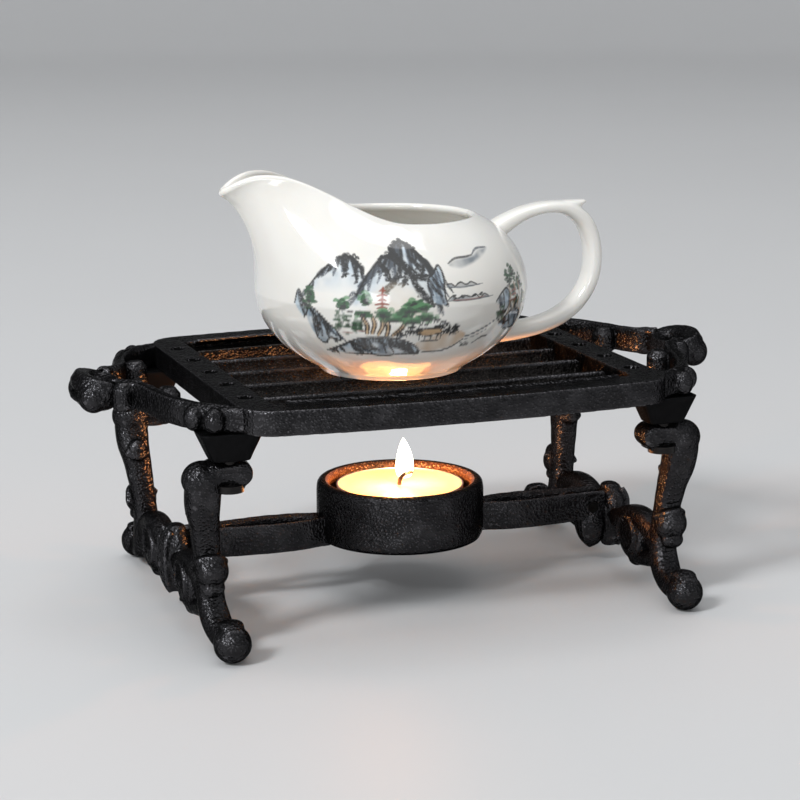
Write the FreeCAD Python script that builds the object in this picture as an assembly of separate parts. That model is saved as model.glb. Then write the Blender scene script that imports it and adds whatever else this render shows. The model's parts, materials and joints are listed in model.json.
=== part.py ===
import FreeCAD, Part
import math
import os

from FreeCAD import Vector

# A cast iron warming stand with a tealight under its grate and a porcelain pitcher on top.
# Millimetres.  The origin is on the surface that the stand rests on, under its middle.
# +X runs from handle to handle, +Y to the back, +Z up.

# --- grate ---
stand_height = 69.0           # top of the grate's rim
grate_length = 126.0          # along X, without the handles
grate_depth = 114.0           # along Y, at the corners
grate_bow = 3.0               # how far the long edges bow out at their middle
grate_corner_radius = 10.0
rim_height = 7.0
rim_width = 9.5
opening_corner_radius = 3.0
bar_drop = 2.5                # the bars lie this far below the rim's top
bar_count = 4
bar_pitch = 18.5
bar_top_width = 2.2
bar_base_width = 4.6
ledge_width = 4.5             # step inside the front and back rims, level with the bars
dimple_count = 5
dimple_diameter = 3.8
dimple_depth = 1.0

# --- handles, one at each end ---
handle_reach = 34.0           # from the grate's end to the outermost point
arm_thickness = 4.0
arm_bead_radius = 3.3
arm_roll_radius = 3.3
arm_curl_radius = 3.5
cartouche_radius = 6.2
cartouche_length = 25.0

# --- corner blocks, under the grate's corners ---
block_height = 8.0
block_top_length = 19.0
block_top_depth = 12.5
block_base_length = 12.4
block_base_depth = 9.0
block_offset_x = 1.8          # the block's middle, outward of the grate's end
block_inset_y = 13.0          # the block's middle, inward of the grate's long edge

# --- legs ---
foot_radius = 5.3
foot_spread_x = 135.2         # between foot centres
foot_spread_y = 110.0
knuckle_radius = 4.8
knuckle_height = 22.3
tongue_length = 13.5          # scroll at the leg's top, which the block stands on
tongue_depth = 8.0
tongue_thickness = 6.6
seat_gap = 0.4                # the tongue's top stays this much below the block

# --- side stretchers ---
stretcher_thickness = 7.0
boss_radius = 7.5
boss_height = 17.0
pendant_radius = 4.6
pendant_height = 8.8
scroll_radius = 8.0
scroll_offset = 19.5
scroll_height = 14.0
scroll_eye_radius = 2.0
scroll_eye_depth = 1.2
rail_height = 8.0
lug_thickness = 4.0
lug_length = 8.0
lug_height = 8.5

# --- candle holder ---
tealight_diameter = 38.0
tealight_height = 15.0
tealight_foil = 0.5
tealight_play = 2.1           # gap all round between the tealight and the cup
cup_wall = 3.9
cup_floor = 2.0
cup_height = 17.2
candle_floor_height = 17.2    # where the tealight stands
candle_arm_height = 8.5
candle_arm_bottom = 14.3
candle_arm_strip = 2.2
candle_arm_bulge = 5.6        # half width of the leaf-shaped loop
candle_arm_play = 0.15        # between the arm's cheeks and the lug

# --- wax and wick ---
wax_below_rim = 0.7
wick_diameter = 1.3
wick_stands = 5.5             # above the wax
wick_tab_diameter = 12.0
wick_tab_thickness = 0.5

# --- fasteners ---
leg_screw_diameter = 4.0
leg_screw_head_diameter = 8.0
leg_screw_head_height = 2.0
leg_screw_bite = 5.0          # thread length in the block
arm_pin_diameter = 2.4
arm_pin_head_diameter = 3.4
arm_pin_head_height = 0.5

# --- pitcher ---
pitcher_height = 45.5         # foot to rim, without the spout
pitcher_radius = 40.2
pitcher_foot_radius = 21.5
pitcher_foot_height = 1.2
pitcher_mouth_radius = 25.5
pitcher_wall = 2.8
pitcher_offset_x = -2.6
spout_reach = 51.0            # from the pitcher's axis to the tip
spout_rise = 12.5             # the highest point of the lip above the rim
pitcher_handle_reach = 66.0   # from the pitcher's axis to the handle's outside
pitcher_handle_width = 8.0
pitcher_handle_thickness = 4.4

# --- derived heights and places ---
rim_bottom = stand_height - rim_height
bar_top = stand_height - bar_drop
block_bottom = rim_bottom - block_height
half_length = grate_length / 2
half_depth = grate_depth / 2
inner_length = half_length - rim_width
inner_depth = half_depth - rim_width
block_x = half_length + block_offset_x
block_y = -(half_depth - block_inset_y)
foot_x = foot_spread_x / 2
foot_y = -foot_spread_y / 2
handle_mid = stand_height - rim_height / 2
cartouche_x = half_length + handle_reach - cartouche_radius
tongue_top = block_bottom - seat_gap
leg_top_x = block_x + 7.0
stretcher_x = foot_x + 1.8
cup_inner_radius = tealight_diameter / 2 + tealight_play
cup_outer_radius = cup_inner_radius + cup_wall
pitcher_bottom = bar_top

os.makedirs("parts", exist_ok=True)


def export(name, shape):
    """Write one node, after checking that it is a sound solid."""
    if shape.Volume <= 0 or not shape.isValid():
        raise ValueError("unsound shape: " + name)
    shape.exportStep("parts/" + name + ".step")


def box(x0, x1, y0, y1, z0, z1):
    """A box between two corners."""
    return Part.makeBox(x1 - x0, y1 - y0, z1 - z0, Vector(x0, y0, z0))


def fuse_all(shapes):
    """Join a list of shapes into one clean solid."""
    return shapes[0].multiFuse(shapes[1:]).removeSplitter()


def mirrored(shape, side_x, side_y):
    """Copy a piece of the front right corner to the corner given by two signs."""
    result = shape
    if side_x < 0:
        result = result.mirror(Vector(0, 0, 0), Vector(1, 0, 0))
    if side_y > 0:
        result = result.mirror(Vector(0, 0, 0), Vector(0, 1, 0))
    return result


def bowed_outline(half_x, half_y, bow, radius, z):
    """A rectangle with round corners whose two long edges bow outward."""
    edges = []
    for side in (-1, 1):
        start = Vector(side * -(half_x - radius), side * half_y, z)
        middle = Vector(0, side * (half_y + bow), z)
        end = Vector(side * (half_x - radius), side * half_y, z)
        edges.append(Part.Arc(start, middle, end).toShape())
        tangent = radius * math.sqrt(0.5)
        corner_x = side * (half_x - radius)
        corner_y = side * (half_y - radius)
        bend = Vector(corner_x + side * tangent, corner_y + side * tangent, z)
        corner_end = Vector(side * half_x, corner_y, z)
        edges.append(Part.Arc(end, bend, corner_end).toShape())
        next_start = Vector(side * half_x, -corner_y, z)
        edges.append(Part.LineSegment(corner_end, next_start).toShape())
        bend = Vector(corner_x + side * tangent, -corner_y - side * tangent, z)
        next_end = Vector(corner_x, -side * half_y, z)
        edges.append(Part.Arc(next_start, bend, next_end).toShape())
    return Part.Face(Part.Wire(Part.__sortEdges__(edges)))


def bowed_slab(half_x, half_y, bow, radius, z0, z1):
    """The bowed outline, extruded between two heights."""
    face = bowed_outline(half_x, half_y, bow, radius, z0)
    return face.extrude(Vector(0, 0, z1 - z0))


def band(points, thickness, z0, z1):
    """An upright strip of even thickness along a smooth line of points in plan."""
    line = Part.BSplineCurve()
    line.interpolate([Vector(x, y, z0) for x, y in points])
    sides = []
    steps = 4 * len(points)
    for offset in (-thickness / 2, thickness / 2):
        side = []
        for step in range(steps + 1):
            at = line.FirstParameter + (line.LastParameter - line.FirstParameter) * step / steps
            run = line.tangent(at)[0]
            side.append(line.value(at) + Vector(-run.y, run.x, 0) * offset)
        curve = Part.BSplineCurve()
        curve.interpolate(side)
        sides.append((curve.toShape(), side[0], side[-1]))
    closers = [Part.makeLine(sides[0][end], sides[1][end]) for end in (1, 2)]
    wire = Part.Wire(Part.__sortEdges__([sides[0][0], sides[1][0]] + closers))
    return Part.Face(wire).extrude(Vector(0, 0, z1 - z0))


def oval_wire(centre, direction, across, side_radius, other_radius):
    """An ellipse round a path, with its side radius along the axis across the path."""
    normal = Vector(*direction)
    normal.normalize()
    other = normal.cross(across)
    sides = 24
    points = []
    for step in range(sides):
        turn = 2 * math.pi * step / sides
        reach = across * (side_radius * math.cos(turn)) + other * (other_radius * math.sin(turn))
        points.append(centre + reach)
    curve = Part.BSplineCurve()
    curve.interpolate(points, True)
    return Part.Wire(curve.toShape())


def oval_loft(across, stations):
    """A solid through ellipses; a station is a centre, a direction and two radii."""
    wires = [oval_wire(Vector(*centre), direction, across, a, b)
             for centre, direction, a, b in stations]
    return Part.makeLoft(wires, True, False)


# ---------------------------------------------------------------- grate

def grate_frame():
    """The rim: an open frame with a step for the bars and a row of dimples at each end."""
    rim = bowed_slab(half_length, half_depth, grate_bow, grate_corner_radius, rim_bottom, stand_height)
    pocket = bowed_slab(inner_length, inner_depth, grate_bow, opening_corner_radius, bar_top, stand_height)
    well = bowed_slab(inner_length, inner_depth - ledge_width, grate_bow, opening_corner_radius,
                      rim_bottom, bar_top)
    rim = rim.cut(pocket).cut(well)
    dimple_x = half_length - rim_width / 2
    dimples = []
    for side in (-1, 1):
        for index in range(dimple_count):
            y = (index - (dimple_count - 1) / 2) * bar_pitch
            dimples.append(Part.makeCylinder(dimple_diameter / 2, dimple_depth,
                                             Vector(side * dimple_x, y, stand_height - dimple_depth)))
    return rim.cut(Part.makeCompound(dimples))


def grate_bar(y):
    """A bar along X between the two end rims, wider at its base than at its top."""
    corners = [(-bar_base_width / 2, rim_bottom), (bar_base_width / 2, rim_bottom),
               (bar_top_width / 2, bar_top), (-bar_top_width / 2, bar_top)]
    points = [Vector(-inner_length, y + dy, z) for dy, z in corners]
    face = Part.Face(Part.makePolygon(points + points[:1]))
    return face.extrude(Vector(2 * inner_length, 0, 0))


# ---------------------------------------------------------------- handles

def handle_cartouche():
    """The shell at the middle of the right handle, a spindle along Y."""
    half = cartouche_length / 2
    end_radius = cartouche_radius * 0.35
    profile = [(-half, end_radius), (-half * 0.6, cartouche_radius * 0.82), (0, cartouche_radius),
               (half * 0.6, cartouche_radius * 0.82), (half, end_radius)]
    curve = Part.BSplineCurve()
    curve.interpolate([Vector(cartouche_x, y, handle_mid + radius) for y, radius in profile])
    low = Vector(cartouche_x, -half, handle_mid)
    high = Vector(cartouche_x, half, handle_mid)
    edges = [curve.toShape(), Part.makeLine(curve.value(curve.LastParameter), high),
             Part.makeLine(high, low), Part.makeLine(low, curve.value(curve.FirstParameter))]
    return Part.Face(Part.Wire(edges)).revolve(low, Vector(0, 1, 0), 360)


def handle_arm(cartouche, grate_blank):
    """The front arm of the right handle: a band from the grate's corner to the cartouche."""
    corner_x = half_length
    corner_y = -(half_depth - grate_corner_radius)
    shoulder = (corner_x + 10.5, corner_y + 6.5)
    roll = (corner_x + 13.2, corner_y + 27.5)
    curl = (cartouche_x - 4.6, -8.6)
    path = [(corner_x - 1.0, corner_y - 0.5), (corner_x + 6.5, corner_y), shoulder,
            (corner_x + 15.2, corner_y + 17.0), (corner_x + 18.0, corner_y + 28.5), curl]
    pieces = [band(path, arm_thickness, rim_bottom, stand_height)]
    for x, y in ((corner_x + 6.8, corner_y - 0.5), (shoulder[0] - 0.2, shoulder[1] - 1.0)):
        pieces.append(Part.makeSphere(arm_bead_radius, Vector(x, y, handle_mid)))
    for (x, y), radius in ((roll, arm_roll_radius), (curl, arm_curl_radius)):
        pieces.append(Part.makeCylinder(radius, rim_height, Vector(x, y, rim_bottom)))
    web = Part.makeCylinder(arm_roll_radius * 0.6, rim_height,
                            Vector(roll[0] + arm_roll_radius, roll[1], rim_bottom))
    pieces.append(web)
    return fuse_all(pieces).cut(cartouche).cut(grate_blank)


# ---------------------------------------------------------------- corner blocks and legs

def corner_block():
    """A tapered block of the front right corner, with a blind hole for the leg's screw."""
    wires = []
    for length, depth, z in ((block_base_length, block_base_depth, block_bottom),
                             (block_top_length, block_top_depth, rim_bottom)):
        corners = [Vector(block_x + sx * length / 2, block_y + sy * depth / 2, z)
                   for sx, sy in ((-1, -1), (1, -1), (1, 1), (-1, 1))]
        wires.append(Part.makePolygon(corners + corners[:1]))
    block = Part.makeLoft(wires, True, True)
    hole = Part.makeCylinder(leg_screw_diameter / 2, leg_screw_bite, Vector(block_x, block_y, block_bottom))
    return block.cut(hole)


def leg():
    """The front right leg: scroll tongue, shoulder, shaft, knuckle and ball foot."""
    down = (0, 0, -1)
    top = block_bottom
    knee_y = block_y + 6.5
    sole = foot_radius
    shaft = oval_loft(Vector(1, 0, 0), [
        ((leg_top_x - 1.4, block_y + 1.2, top), down, 5.6, 4.6),
        ((leg_top_x + 0.3, block_y + 1.5, top - 4.5), down, 5.7, 4.9),
        ((leg_top_x, block_y + 2.3, top - 10), down, 5.1, 4.6),
        ((leg_top_x - 0.6, block_y + 4.4, top - 18), down, 4.6, 4.4),
        ((leg_top_x - 1.4, knee_y - 0.7, top - 26), down, 4.3, 4.2),
        ((leg_top_x - 2.2, knee_y, top - 34), (0, 0.02, -1), 4.1, 4.2),
        ((foot_x + 1.2, knee_y - 0.8, sole + 7.5), (0, -0.3, -1), 4.1, 4.2),
        ((foot_x + 0.6, knee_y - 6.0, sole + 1.6), (0, -1, -0.7), 4.1, 3.9),
        ((foot_x, foot_y + 4.0, sole), (0, -1, 0), 3.6, 3.6),
    ])
    ball = Part.makeSphere(foot_radius, Vector(foot_x, foot_y, foot_radius))
    knuckle = Part.makeSphere(knuckle_radius, Vector(foot_x + 1.7, knee_y - 4.0, knuckle_height))
    tongue_end = leg_top_x - tongue_length
    round_radius = tongue_thickness / 2
    tongue_y0 = block_y + 0.8 - tongue_depth / 2
    tongue = box(tongue_end + round_radius, leg_top_x, tongue_y0, tongue_y0 + tongue_depth,
                 tongue_top - tongue_thickness, tongue_top)
    tongue_nose = Part.makeCylinder(round_radius, tongue_depth,
                                    Vector(tongue_end + round_radius, tongue_y0, tongue_top - round_radius),
                                    Vector(0, 1, 0))
    body = fuse_all([shaft, ball, knuckle, tongue, tongue_nose])
    drill_start = tongue_top - tongue_thickness - leg_screw_head_height
    hole = Part.makeCylinder(leg_screw_diameter / 2, block_bottom - drill_start,
                             Vector(block_x, block_y, drill_start))
    head_room = Part.makeCylinder(leg_screw_head_diameter / 2, leg_screw_head_height,
                                  Vector(block_x, block_y, drill_start))
    return body.cut(hole).cut(head_room)


def leg_screw():
    """The screw that goes up through the tongue into the block."""
    head_top = tongue_top - tongue_thickness
    head = Part.makeCylinder(leg_screw_head_diameter / 2, leg_screw_head_height,
                             Vector(block_x, block_y, head_top - leg_screw_head_height))
    length = block_bottom + leg_screw_bite - head_top
    shank = Part.makeCylinder(leg_screw_diameter / 2, length, Vector(block_x, block_y, head_top))
    return head.fuse(shank).removeSplitter()


# ---------------------------------------------------------------- stretchers

def disc(x, y, z, radius, thickness):
    """A round plate with its axis along X, centred on x."""
    return Part.makeCylinder(radius, thickness, Vector(x - thickness / 2, y, z), Vector(1, 0, 0))


def arm_pin_place():
    """Where the pin of the right candle arm crosses the lug."""
    x = stretcher_x - stretcher_thickness / 2 - lug_length * 0.55
    return x, candle_arm_bottom + candle_arm_height / 2


def stretcher(front_leg, back_leg):
    """The right stretcher: a boss with a pendant between two scrolls, and a lug for the candle arm."""
    scrolls = [disc(stretcher_x, side * scroll_offset, scroll_height, scroll_radius, stretcher_thickness)
               for side in (-1, 1)]
    face_x = stretcher_x + stretcher_thickness / 2
    eyes = [disc(face_x, side * scroll_offset, scroll_height, scroll_eye_radius, 2 * scroll_eye_depth)
            for side in (-1, 1)]
    boss = disc(stretcher_x, 0, boss_height, boss_radius, stretcher_thickness)
    pendant = disc(stretcher_x, 0, pendant_height, pendant_radius, stretcher_thickness - 1.0)
    reach = abs(block_y + 6.5)
    rail = box(stretcher_x - 2.5, stretcher_x + 2.5, -reach, reach,
               scroll_height - rail_height / 2, scroll_height + rail_height / 2)
    inner_face = stretcher_x - stretcher_thickness / 2
    lug_bottom = candle_arm_bottom + (candle_arm_height - lug_height) / 2
    lug = box(inner_face - lug_length, inner_face + 1.0, -lug_thickness / 2, lug_thickness / 2,
              lug_bottom, lug_bottom + lug_height)
    pin_x, pin_z = arm_pin_place()
    pin_hole = Part.makeCylinder(arm_pin_diameter / 2, 2 * lug_thickness,
                                 Vector(pin_x, -lug_thickness, pin_z), Vector(0, 1, 0))
    body = fuse_all([boss, pendant, rail, lug] + scrolls)
    body = body.cut(Part.makeCompound(eyes)).cut(pin_hole)
    return body.cut(front_leg).cut(back_leg)


# ---------------------------------------------------------------- candle holder

def candle_cup():
    """The round cup that the tealight stands in."""
    bottom = candle_floor_height - cup_floor
    outer = Part.makeCylinder(cup_outer_radius, cup_height, Vector(0, 0, bottom))
    inner = Part.makeCylinder(cup_inner_radius, cup_height, Vector(0, 0, candle_floor_height))
    cup = outer.cut(inner)
    rim_edges = [edge for edge in cup.Edges if edge.BoundBox.ZMin > bottom + cup_height - 0.01]
    return cup.makeFillet(cup_wall * 0.3, [edge for edge in rim_edges if len(edge.Vertexes) == 1])


def candle_arm(cup_blank):
    """The right arm: two bowed strips that leave a leaf-shaped gap and grip the lug with cheeks."""
    z0 = candle_arm_bottom
    z1 = candle_arm_bottom + candle_arm_height
    cheek = lug_thickness / 2 + candle_arm_play
    inner_face = stretcher_x - stretcher_thickness / 2
    loop_start = cup_outer_radius - 2.0
    loop_end = inner_face - lug_length - 0.6
    middle = (loop_start + loop_end) / 2
    strip = candle_arm_strip / 2
    pieces = []
    for side in (-1, 1):
        path = [(loop_start, side * (cheek + strip)),
                ((loop_start + middle) / 2, side * (candle_arm_bulge - 0.9 - strip)),
                (middle, side * (candle_arm_bulge - strip)),
                ((loop_end + middle) / 2, side * (candle_arm_bulge - 0.9 - strip)),
                (loop_end, side * (cheek + strip))]
        pieces.append(band(path, candle_arm_strip, z0, z1))
        low, high = sorted((side * cheek, side * (cheek + candle_arm_strip)))
        pieces.append(box(loop_end, inner_face - 0.1, low, high, z0, z1))
    pieces.append(box(loop_end - 1.6, loop_end, -cheek - strip, cheek + strip, z0, z1))
    pieces.append(box(loop_start, cup_outer_radius + 1.4, -cheek - strip, cheek + strip, z0, z1))
    pin_x, pin_z = arm_pin_place()
    reach = cheek + candle_arm_strip
    pin_hole = Part.makeCylinder(arm_pin_diameter / 2, 2 * reach, Vector(pin_x, -reach, pin_z),
                                 Vector(0, 1, 0))
    return fuse_all(pieces).cut(cup_blank).cut(pin_hole)


def arm_pin():
    """The headed pin that holds the right candle arm to the lug."""
    pin_x, pin_z = arm_pin_place()
    reach = lug_thickness / 2 + candle_arm_play + candle_arm_strip
    pin = Part.makeCylinder(arm_pin_diameter / 2, 2 * reach, Vector(pin_x, -reach, pin_z), Vector(0, 1, 0))
    heads = [Part.makeCylinder(arm_pin_head_diameter / 2, arm_pin_head_height, Vector(pin_x, y, pin_z),
                               Vector(0, 1, 0)) for y in (-reach - arm_pin_head_height, reach)]
    return fuse_all([pin] + heads)


# ---------------------------------------------------------------- tealight

def tealight_cup():
    """The thin metal cup round the wax."""
    radius = tealight_diameter / 2
    outer = Part.makeCylinder(radius, tealight_height, Vector(0, 0, candle_floor_height))
    inner = Part.makeCylinder(radius - tealight_foil, tealight_height,
                              Vector(0, 0, candle_floor_height + tealight_foil))
    return outer.cut(inner)


def wick_tab():
    """The small plate that holds the wick up inside the wax."""
    base = candle_floor_height + tealight_foil
    tab = Part.makeCylinder(wick_tab_diameter / 2, wick_tab_thickness, Vector(0, 0, base))
    return tab.cut(wick(base))


def wick(base):
    """The wick, from the tab to above the wax."""
    top = candle_floor_height + tealight_height - wax_below_rim + wick_stands
    return Part.makeCylinder(wick_diameter / 2, top - base, Vector(0, 0, base))


def tealight_wax():
    """The wax, which fills the cup round the wick and its tab."""
    base = candle_floor_height + tealight_foil
    top = candle_floor_height + tealight_height - wax_below_rim
    wax = Part.makeCylinder(tealight_diameter / 2 - tealight_foil, top - base, Vector(0, 0, base))
    tab = Part.makeCylinder(wick_tab_diameter / 2, wick_tab_thickness, Vector(0, 0, base))
    return wax.cut(wick(base)).cut(tab)


# ---------------------------------------------------------------- pitcher

def pitcher_profile(inset, base):
    """Half section of the bowl, as a solid of revolution shrunk by inset, from base to the rim."""
    mouth = pitcher_mouth_radius - inset
    widest = pitcher_radius - inset
    foot = pitcher_foot_radius
    rim = pitcher_bottom + pitcher_height
    belly = pitcher_bottom + pitcher_height * 0.53
    points = [Vector(foot - inset + 1.0, 0, base), Vector(foot - inset + 9.2, 0, base + 4.4 - inset * 0.2),
              Vector(widest - 3.6, 0, pitcher_bottom + pitcher_height * 0.29),
              Vector(widest, 0, belly), Vector(widest - 2.6, 0, belly + pitcher_height * 0.23),
              Vector(mouth + 6.8, 0, rim - 4.3), Vector(mouth, 0, rim)]
    curve = Part.BSplineCurve()
    curve.interpolate(points)
    low = Vector(0, 0, base)
    high = Vector(0, 0, rim)
    edges = [curve.toShape(), Part.makeLine(points[-1], high), Part.makeLine(high, low),
             Part.makeLine(low, points[0])]
    solid = Part.Face(Part.Wire(edges)).revolve(Vector(0, 0, 0), Vector(0, 0, 1), 360)
    return solid


def spout(inset):
    """The spout as a solid, shrunk by inset, from inside the bowl to the tip."""
    rim = pitcher_bottom + pitcher_height
    lip = rim + spout_rise
    tip = -spout_reach
    return oval_loft(Vector(0, 1, 0), [
        ((tip + 44.0, 0, rim - 17.0), (-0.55, 0, 1), 24.0 - inset, 20.0 - inset),
        ((tip + 32.0, 0, rim - 7.5), (-0.75, 0, 1), 19.5 - inset, 17.5 - inset),
        ((tip + 20.0, 0, rim + 1.5), (-0.9, 0, 1), 12.4 - inset, 13.4 - inset),
        ((tip + 9.0, 0, lip - 5.0), (-1, 0, 0.75), 6.6 - inset * 0.9, 7.2 - inset * 0.9),
        ((tip + 0.5, 0, lip - 2.6), (-1, 0, 0.35), 3.6 - inset * 0.6, 3.0 - inset * 0.6),
    ])


def above_lip():
    """Everything above the pitcher's lip line, which is level at the back and rises at the spout."""
    rim = pitcher_bottom + pitcher_height
    lip = rim + spout_rise
    tip = -spout_reach
    line = Part.BSplineCurve()
    points = [(tip - 4.0, lip - 7.5), (tip, lip - 4.4), (tip + 5.0, lip - 1.4), (tip + 10.5, lip),
              (tip + 18.0, lip - 1.6), (tip + 29.0, rim + 6.0), (tip + 40.0, rim + 1.0),
              (-tip * 0.1, rim), (pitcher_radius, rim)]
    line.interpolate([Vector(x, -pitcher_radius, z) for x, z in points])
    high = lip + spout_rise
    left = Vector(points[0][0], -pitcher_radius, high)
    right = Vector(points[-1][0], -pitcher_radius, high)
    start = Vector(points[0][0], -pitcher_radius, points[0][1])
    end = Vector(points[-1][0], -pitcher_radius, points[-1][1])
    edges = [line.toShape(), Part.makeLine(end, right), Part.makeLine(right, left),
             Part.makeLine(left, start)]
    return Part.Face(Part.Wire(edges)).extrude(Vector(0, 2 * pitcher_radius, 0))


def pitcher_body():
    """The hollow bowl with a foot ring and a spout that is open along its top."""
    base = pitcher_bottom + pitcher_foot_height
    outer = pitcher_profile(0, base).fuse(spout(0))
    open_top = spout(1.5 * pitcher_wall)
    open_top.translate(Vector(0, 0, 1.5 * pitcher_wall))
    inner = pitcher_profile(pitcher_wall, base + pitcher_wall).fuse([spout(pitcher_wall), open_top])
    foot = Part.makeCylinder(pitcher_foot_radius, pitcher_foot_height + 0.5, Vector(0, 0, pitcher_bottom))
    hollow = Part.makeCylinder(pitcher_foot_radius - 3.0, pitcher_foot_height, Vector(0, 0, pitcher_bottom))
    body = outer.fuse(foot).cut(inner).cut(above_lip()).cut(hollow)
    body.translate(Vector(pitcher_offset_x, 0, 0))
    return body


def pitcher_handle():
    """The strap handle opposite the spout, cut to the bowl's outside."""
    rim = pitcher_bottom + pitcher_height
    out = pitcher_handle_reach - pitcher_handle_thickness / 2
    wide = pitcher_handle_width / 2
    thin = pitcher_handle_thickness / 2
    loop = oval_loft(Vector(0, 1, 0), [
        ((27.0, 0, rim - 8.5), (0.8, 0, 0.6), wide + 1.2, thin + 1.2),
        ((out - 24.5, 0, rim - 3.2), (1, 0, 0.5), wide, thin + 0.2),
        ((out - 13.0, 0, rim - 0.8), (1, 0, 0), wide, thin),
        ((out - 4.6, 0, rim - 4.2), (0.7, 0, -0.8), wide, thin),
        ((out, 0, rim - 14.0), (0.1, 0, -1), wide, thin),
        ((out - 1.6, 0, rim - 23.5), (-0.45, 0, -1), wide, thin),
        ((out - 9.0, 0, rim - 31.5), (-1, 0, -0.75), wide, thin),
        ((out - 20.0, 0, rim - 36.0), (-1, 0, -0.25), wide, thin + 0.3),
        ((31.0, 0, rim - 37.0), (-1, 0, 0.0), wide + 0.8, thin + 0.9),
    ])
    thumb = oval_loft(Vector(0, 1, 0), [
        ((out - 8.0, 0, rim - 1.6), (1, 0, 0.25), wide * 0.8, thin),
        ((out - 1.4, 0, rim + 1.0), (1, 0, 0.35), wide * 0.45, thin * 0.45),
    ])
    base = pitcher_bottom + pitcher_foot_height
    shape = loop.fuse(thumb).cut(pitcher_profile(0, base))
    shape.translate(Vector(pitcher_offset_x, 0, 0))
    return shape


# ---------------------------------------------------------------- the whole set

grate_blank = bowed_slab(half_length, half_depth, grate_bow, grate_corner_radius, rim_bottom, stand_height)
cup_blank = Part.makeCylinder(cup_outer_radius, cup_height, Vector(0, 0, candle_floor_height - cup_floor))
corners = [(side_x, side_y, name_y + "_" + name_x)
           for side_x, name_x in ((-1, "left"), (1, "right"))
           for side_y, name_y in ((-1, "front"), (1, "back"))]

export("grate_frame", grate_frame())
for index in range(bar_count):
    y = (index - (bar_count - 1) / 2) * bar_pitch
    export("grate_bar_" + str(index + 1), grate_bar(y))

master_cartouche = handle_cartouche()
master_arm = handle_arm(master_cartouche, grate_blank)
master_block = corner_block()
master_leg = leg()
for side_x, side_y, place in corners:
    export("handle_arm_" + place, mirrored(master_arm, side_x, side_y))
    export("corner_block_" + place, mirrored(master_block, side_x, side_y))
    export("leg_" + place, mirrored(master_leg, side_x, side_y))
screws = [mirrored(leg_screw(), side_x, side_y) for side_x, side_y, place in corners]
export("leg_screws", Part.makeCompound(screws))

master_stretcher = stretcher(master_leg, mirrored(master_leg, 1, 1))
master_candle_arm = candle_arm(cup_blank)
for side_x, name in ((-1, "left"), (1, "right")):
    export("handle_shell_" + name, mirrored(master_cartouche, side_x, -1))
    export("stretcher_" + name, mirrored(master_stretcher, side_x, -1))
    export("candle_arm_" + name, mirrored(master_candle_arm, side_x, -1))
export("arm_pins", Part.makeCompound([mirrored(arm_pin(), side, -1) for side in (-1, 1)]))
export("candle_cup", candle_cup())

export("tealight_cup", tealight_cup())
export("tealight_wax", tealight_wax())
export("wick", wick(candle_floor_height + tealight_foil))
export("wick_tab", wick_tab())

export("pitcher_body", pitcher_body())
export("pitcher_handle", pitcher_handle())
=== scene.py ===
"""Visible model of a cast iron tea warmer that carries a porcelain pitcher over a lit tealight.

Lengths inside the classes are in millimetres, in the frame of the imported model: the origin lies on
the table under the middle of the stand, +X runs from handle to handle and +Z is up.  The right
front corner is the master of everything that comes in mirrored copies.
"""

import json
import logging
import math
from collections.abc import Callable, Iterable, Sequence
from dataclasses import dataclass, field
from enum import Enum
from typing import Any

import bpy
import numpy as np
from mathutils import Matrix, Vector, noise

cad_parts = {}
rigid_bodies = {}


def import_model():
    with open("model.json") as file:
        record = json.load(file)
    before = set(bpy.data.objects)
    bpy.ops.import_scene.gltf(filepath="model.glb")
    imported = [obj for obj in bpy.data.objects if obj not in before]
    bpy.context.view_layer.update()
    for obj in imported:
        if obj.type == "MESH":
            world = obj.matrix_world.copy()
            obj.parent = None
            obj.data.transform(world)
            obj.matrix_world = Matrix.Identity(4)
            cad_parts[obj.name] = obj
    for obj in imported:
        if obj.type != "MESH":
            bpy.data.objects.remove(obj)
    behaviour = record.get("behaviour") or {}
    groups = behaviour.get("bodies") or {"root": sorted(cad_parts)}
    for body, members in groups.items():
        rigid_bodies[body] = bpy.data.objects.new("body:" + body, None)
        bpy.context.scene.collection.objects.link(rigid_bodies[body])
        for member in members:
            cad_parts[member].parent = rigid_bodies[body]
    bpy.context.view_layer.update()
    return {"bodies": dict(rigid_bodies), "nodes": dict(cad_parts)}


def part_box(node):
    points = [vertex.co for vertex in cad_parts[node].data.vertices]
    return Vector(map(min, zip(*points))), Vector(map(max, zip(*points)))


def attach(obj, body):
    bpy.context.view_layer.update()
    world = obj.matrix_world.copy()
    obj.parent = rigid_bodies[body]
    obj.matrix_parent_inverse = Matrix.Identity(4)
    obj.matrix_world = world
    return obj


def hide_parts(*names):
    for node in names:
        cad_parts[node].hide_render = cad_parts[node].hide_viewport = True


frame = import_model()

log = logging.getLogger("tea_warmer")

MM = 0.001
X_AXIS, Y_AXIS, Z_AXIS = (1, 0, 0), (0, 1, 0), (0, 0, 1)
Array = np.ndarray
Material = bpy.types.Material
Piece = bpy.types.Object
Face = tuple[int, ...]
Row = tuple[float, ...]


class Body(Enum):
    """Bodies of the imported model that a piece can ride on."""

    STAND = "stand"
    TEALIGHT = "tealight"
    PITCHER = "pitcher"


class Slot(Enum):
    """Material slots of the record."""

    CAST_IRON = "cast_iron"
    BLOCK_IRON = "block_iron"
    FOIL = "foil"
    WAX = "wax"
    WICK = "wick"
    PORCELAIN = "porcelain"


class Corner(Enum):
    """The four corners, as signs of X and Y."""

    FRONT_LEFT = (-1, -1)
    BACK_LEFT = (-1, 1)
    FRONT_RIGHT = (1, -1)
    BACK_RIGHT = (1, 1)

    @property
    def tag(self) -> str:
        """Name of the corner as the nodes spell it."""
        return self.name.lower()

    @property
    def signs(self) -> tuple[int, int]:
        """Signs of X and Y for a copy of a right front piece."""
        return self.value


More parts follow.
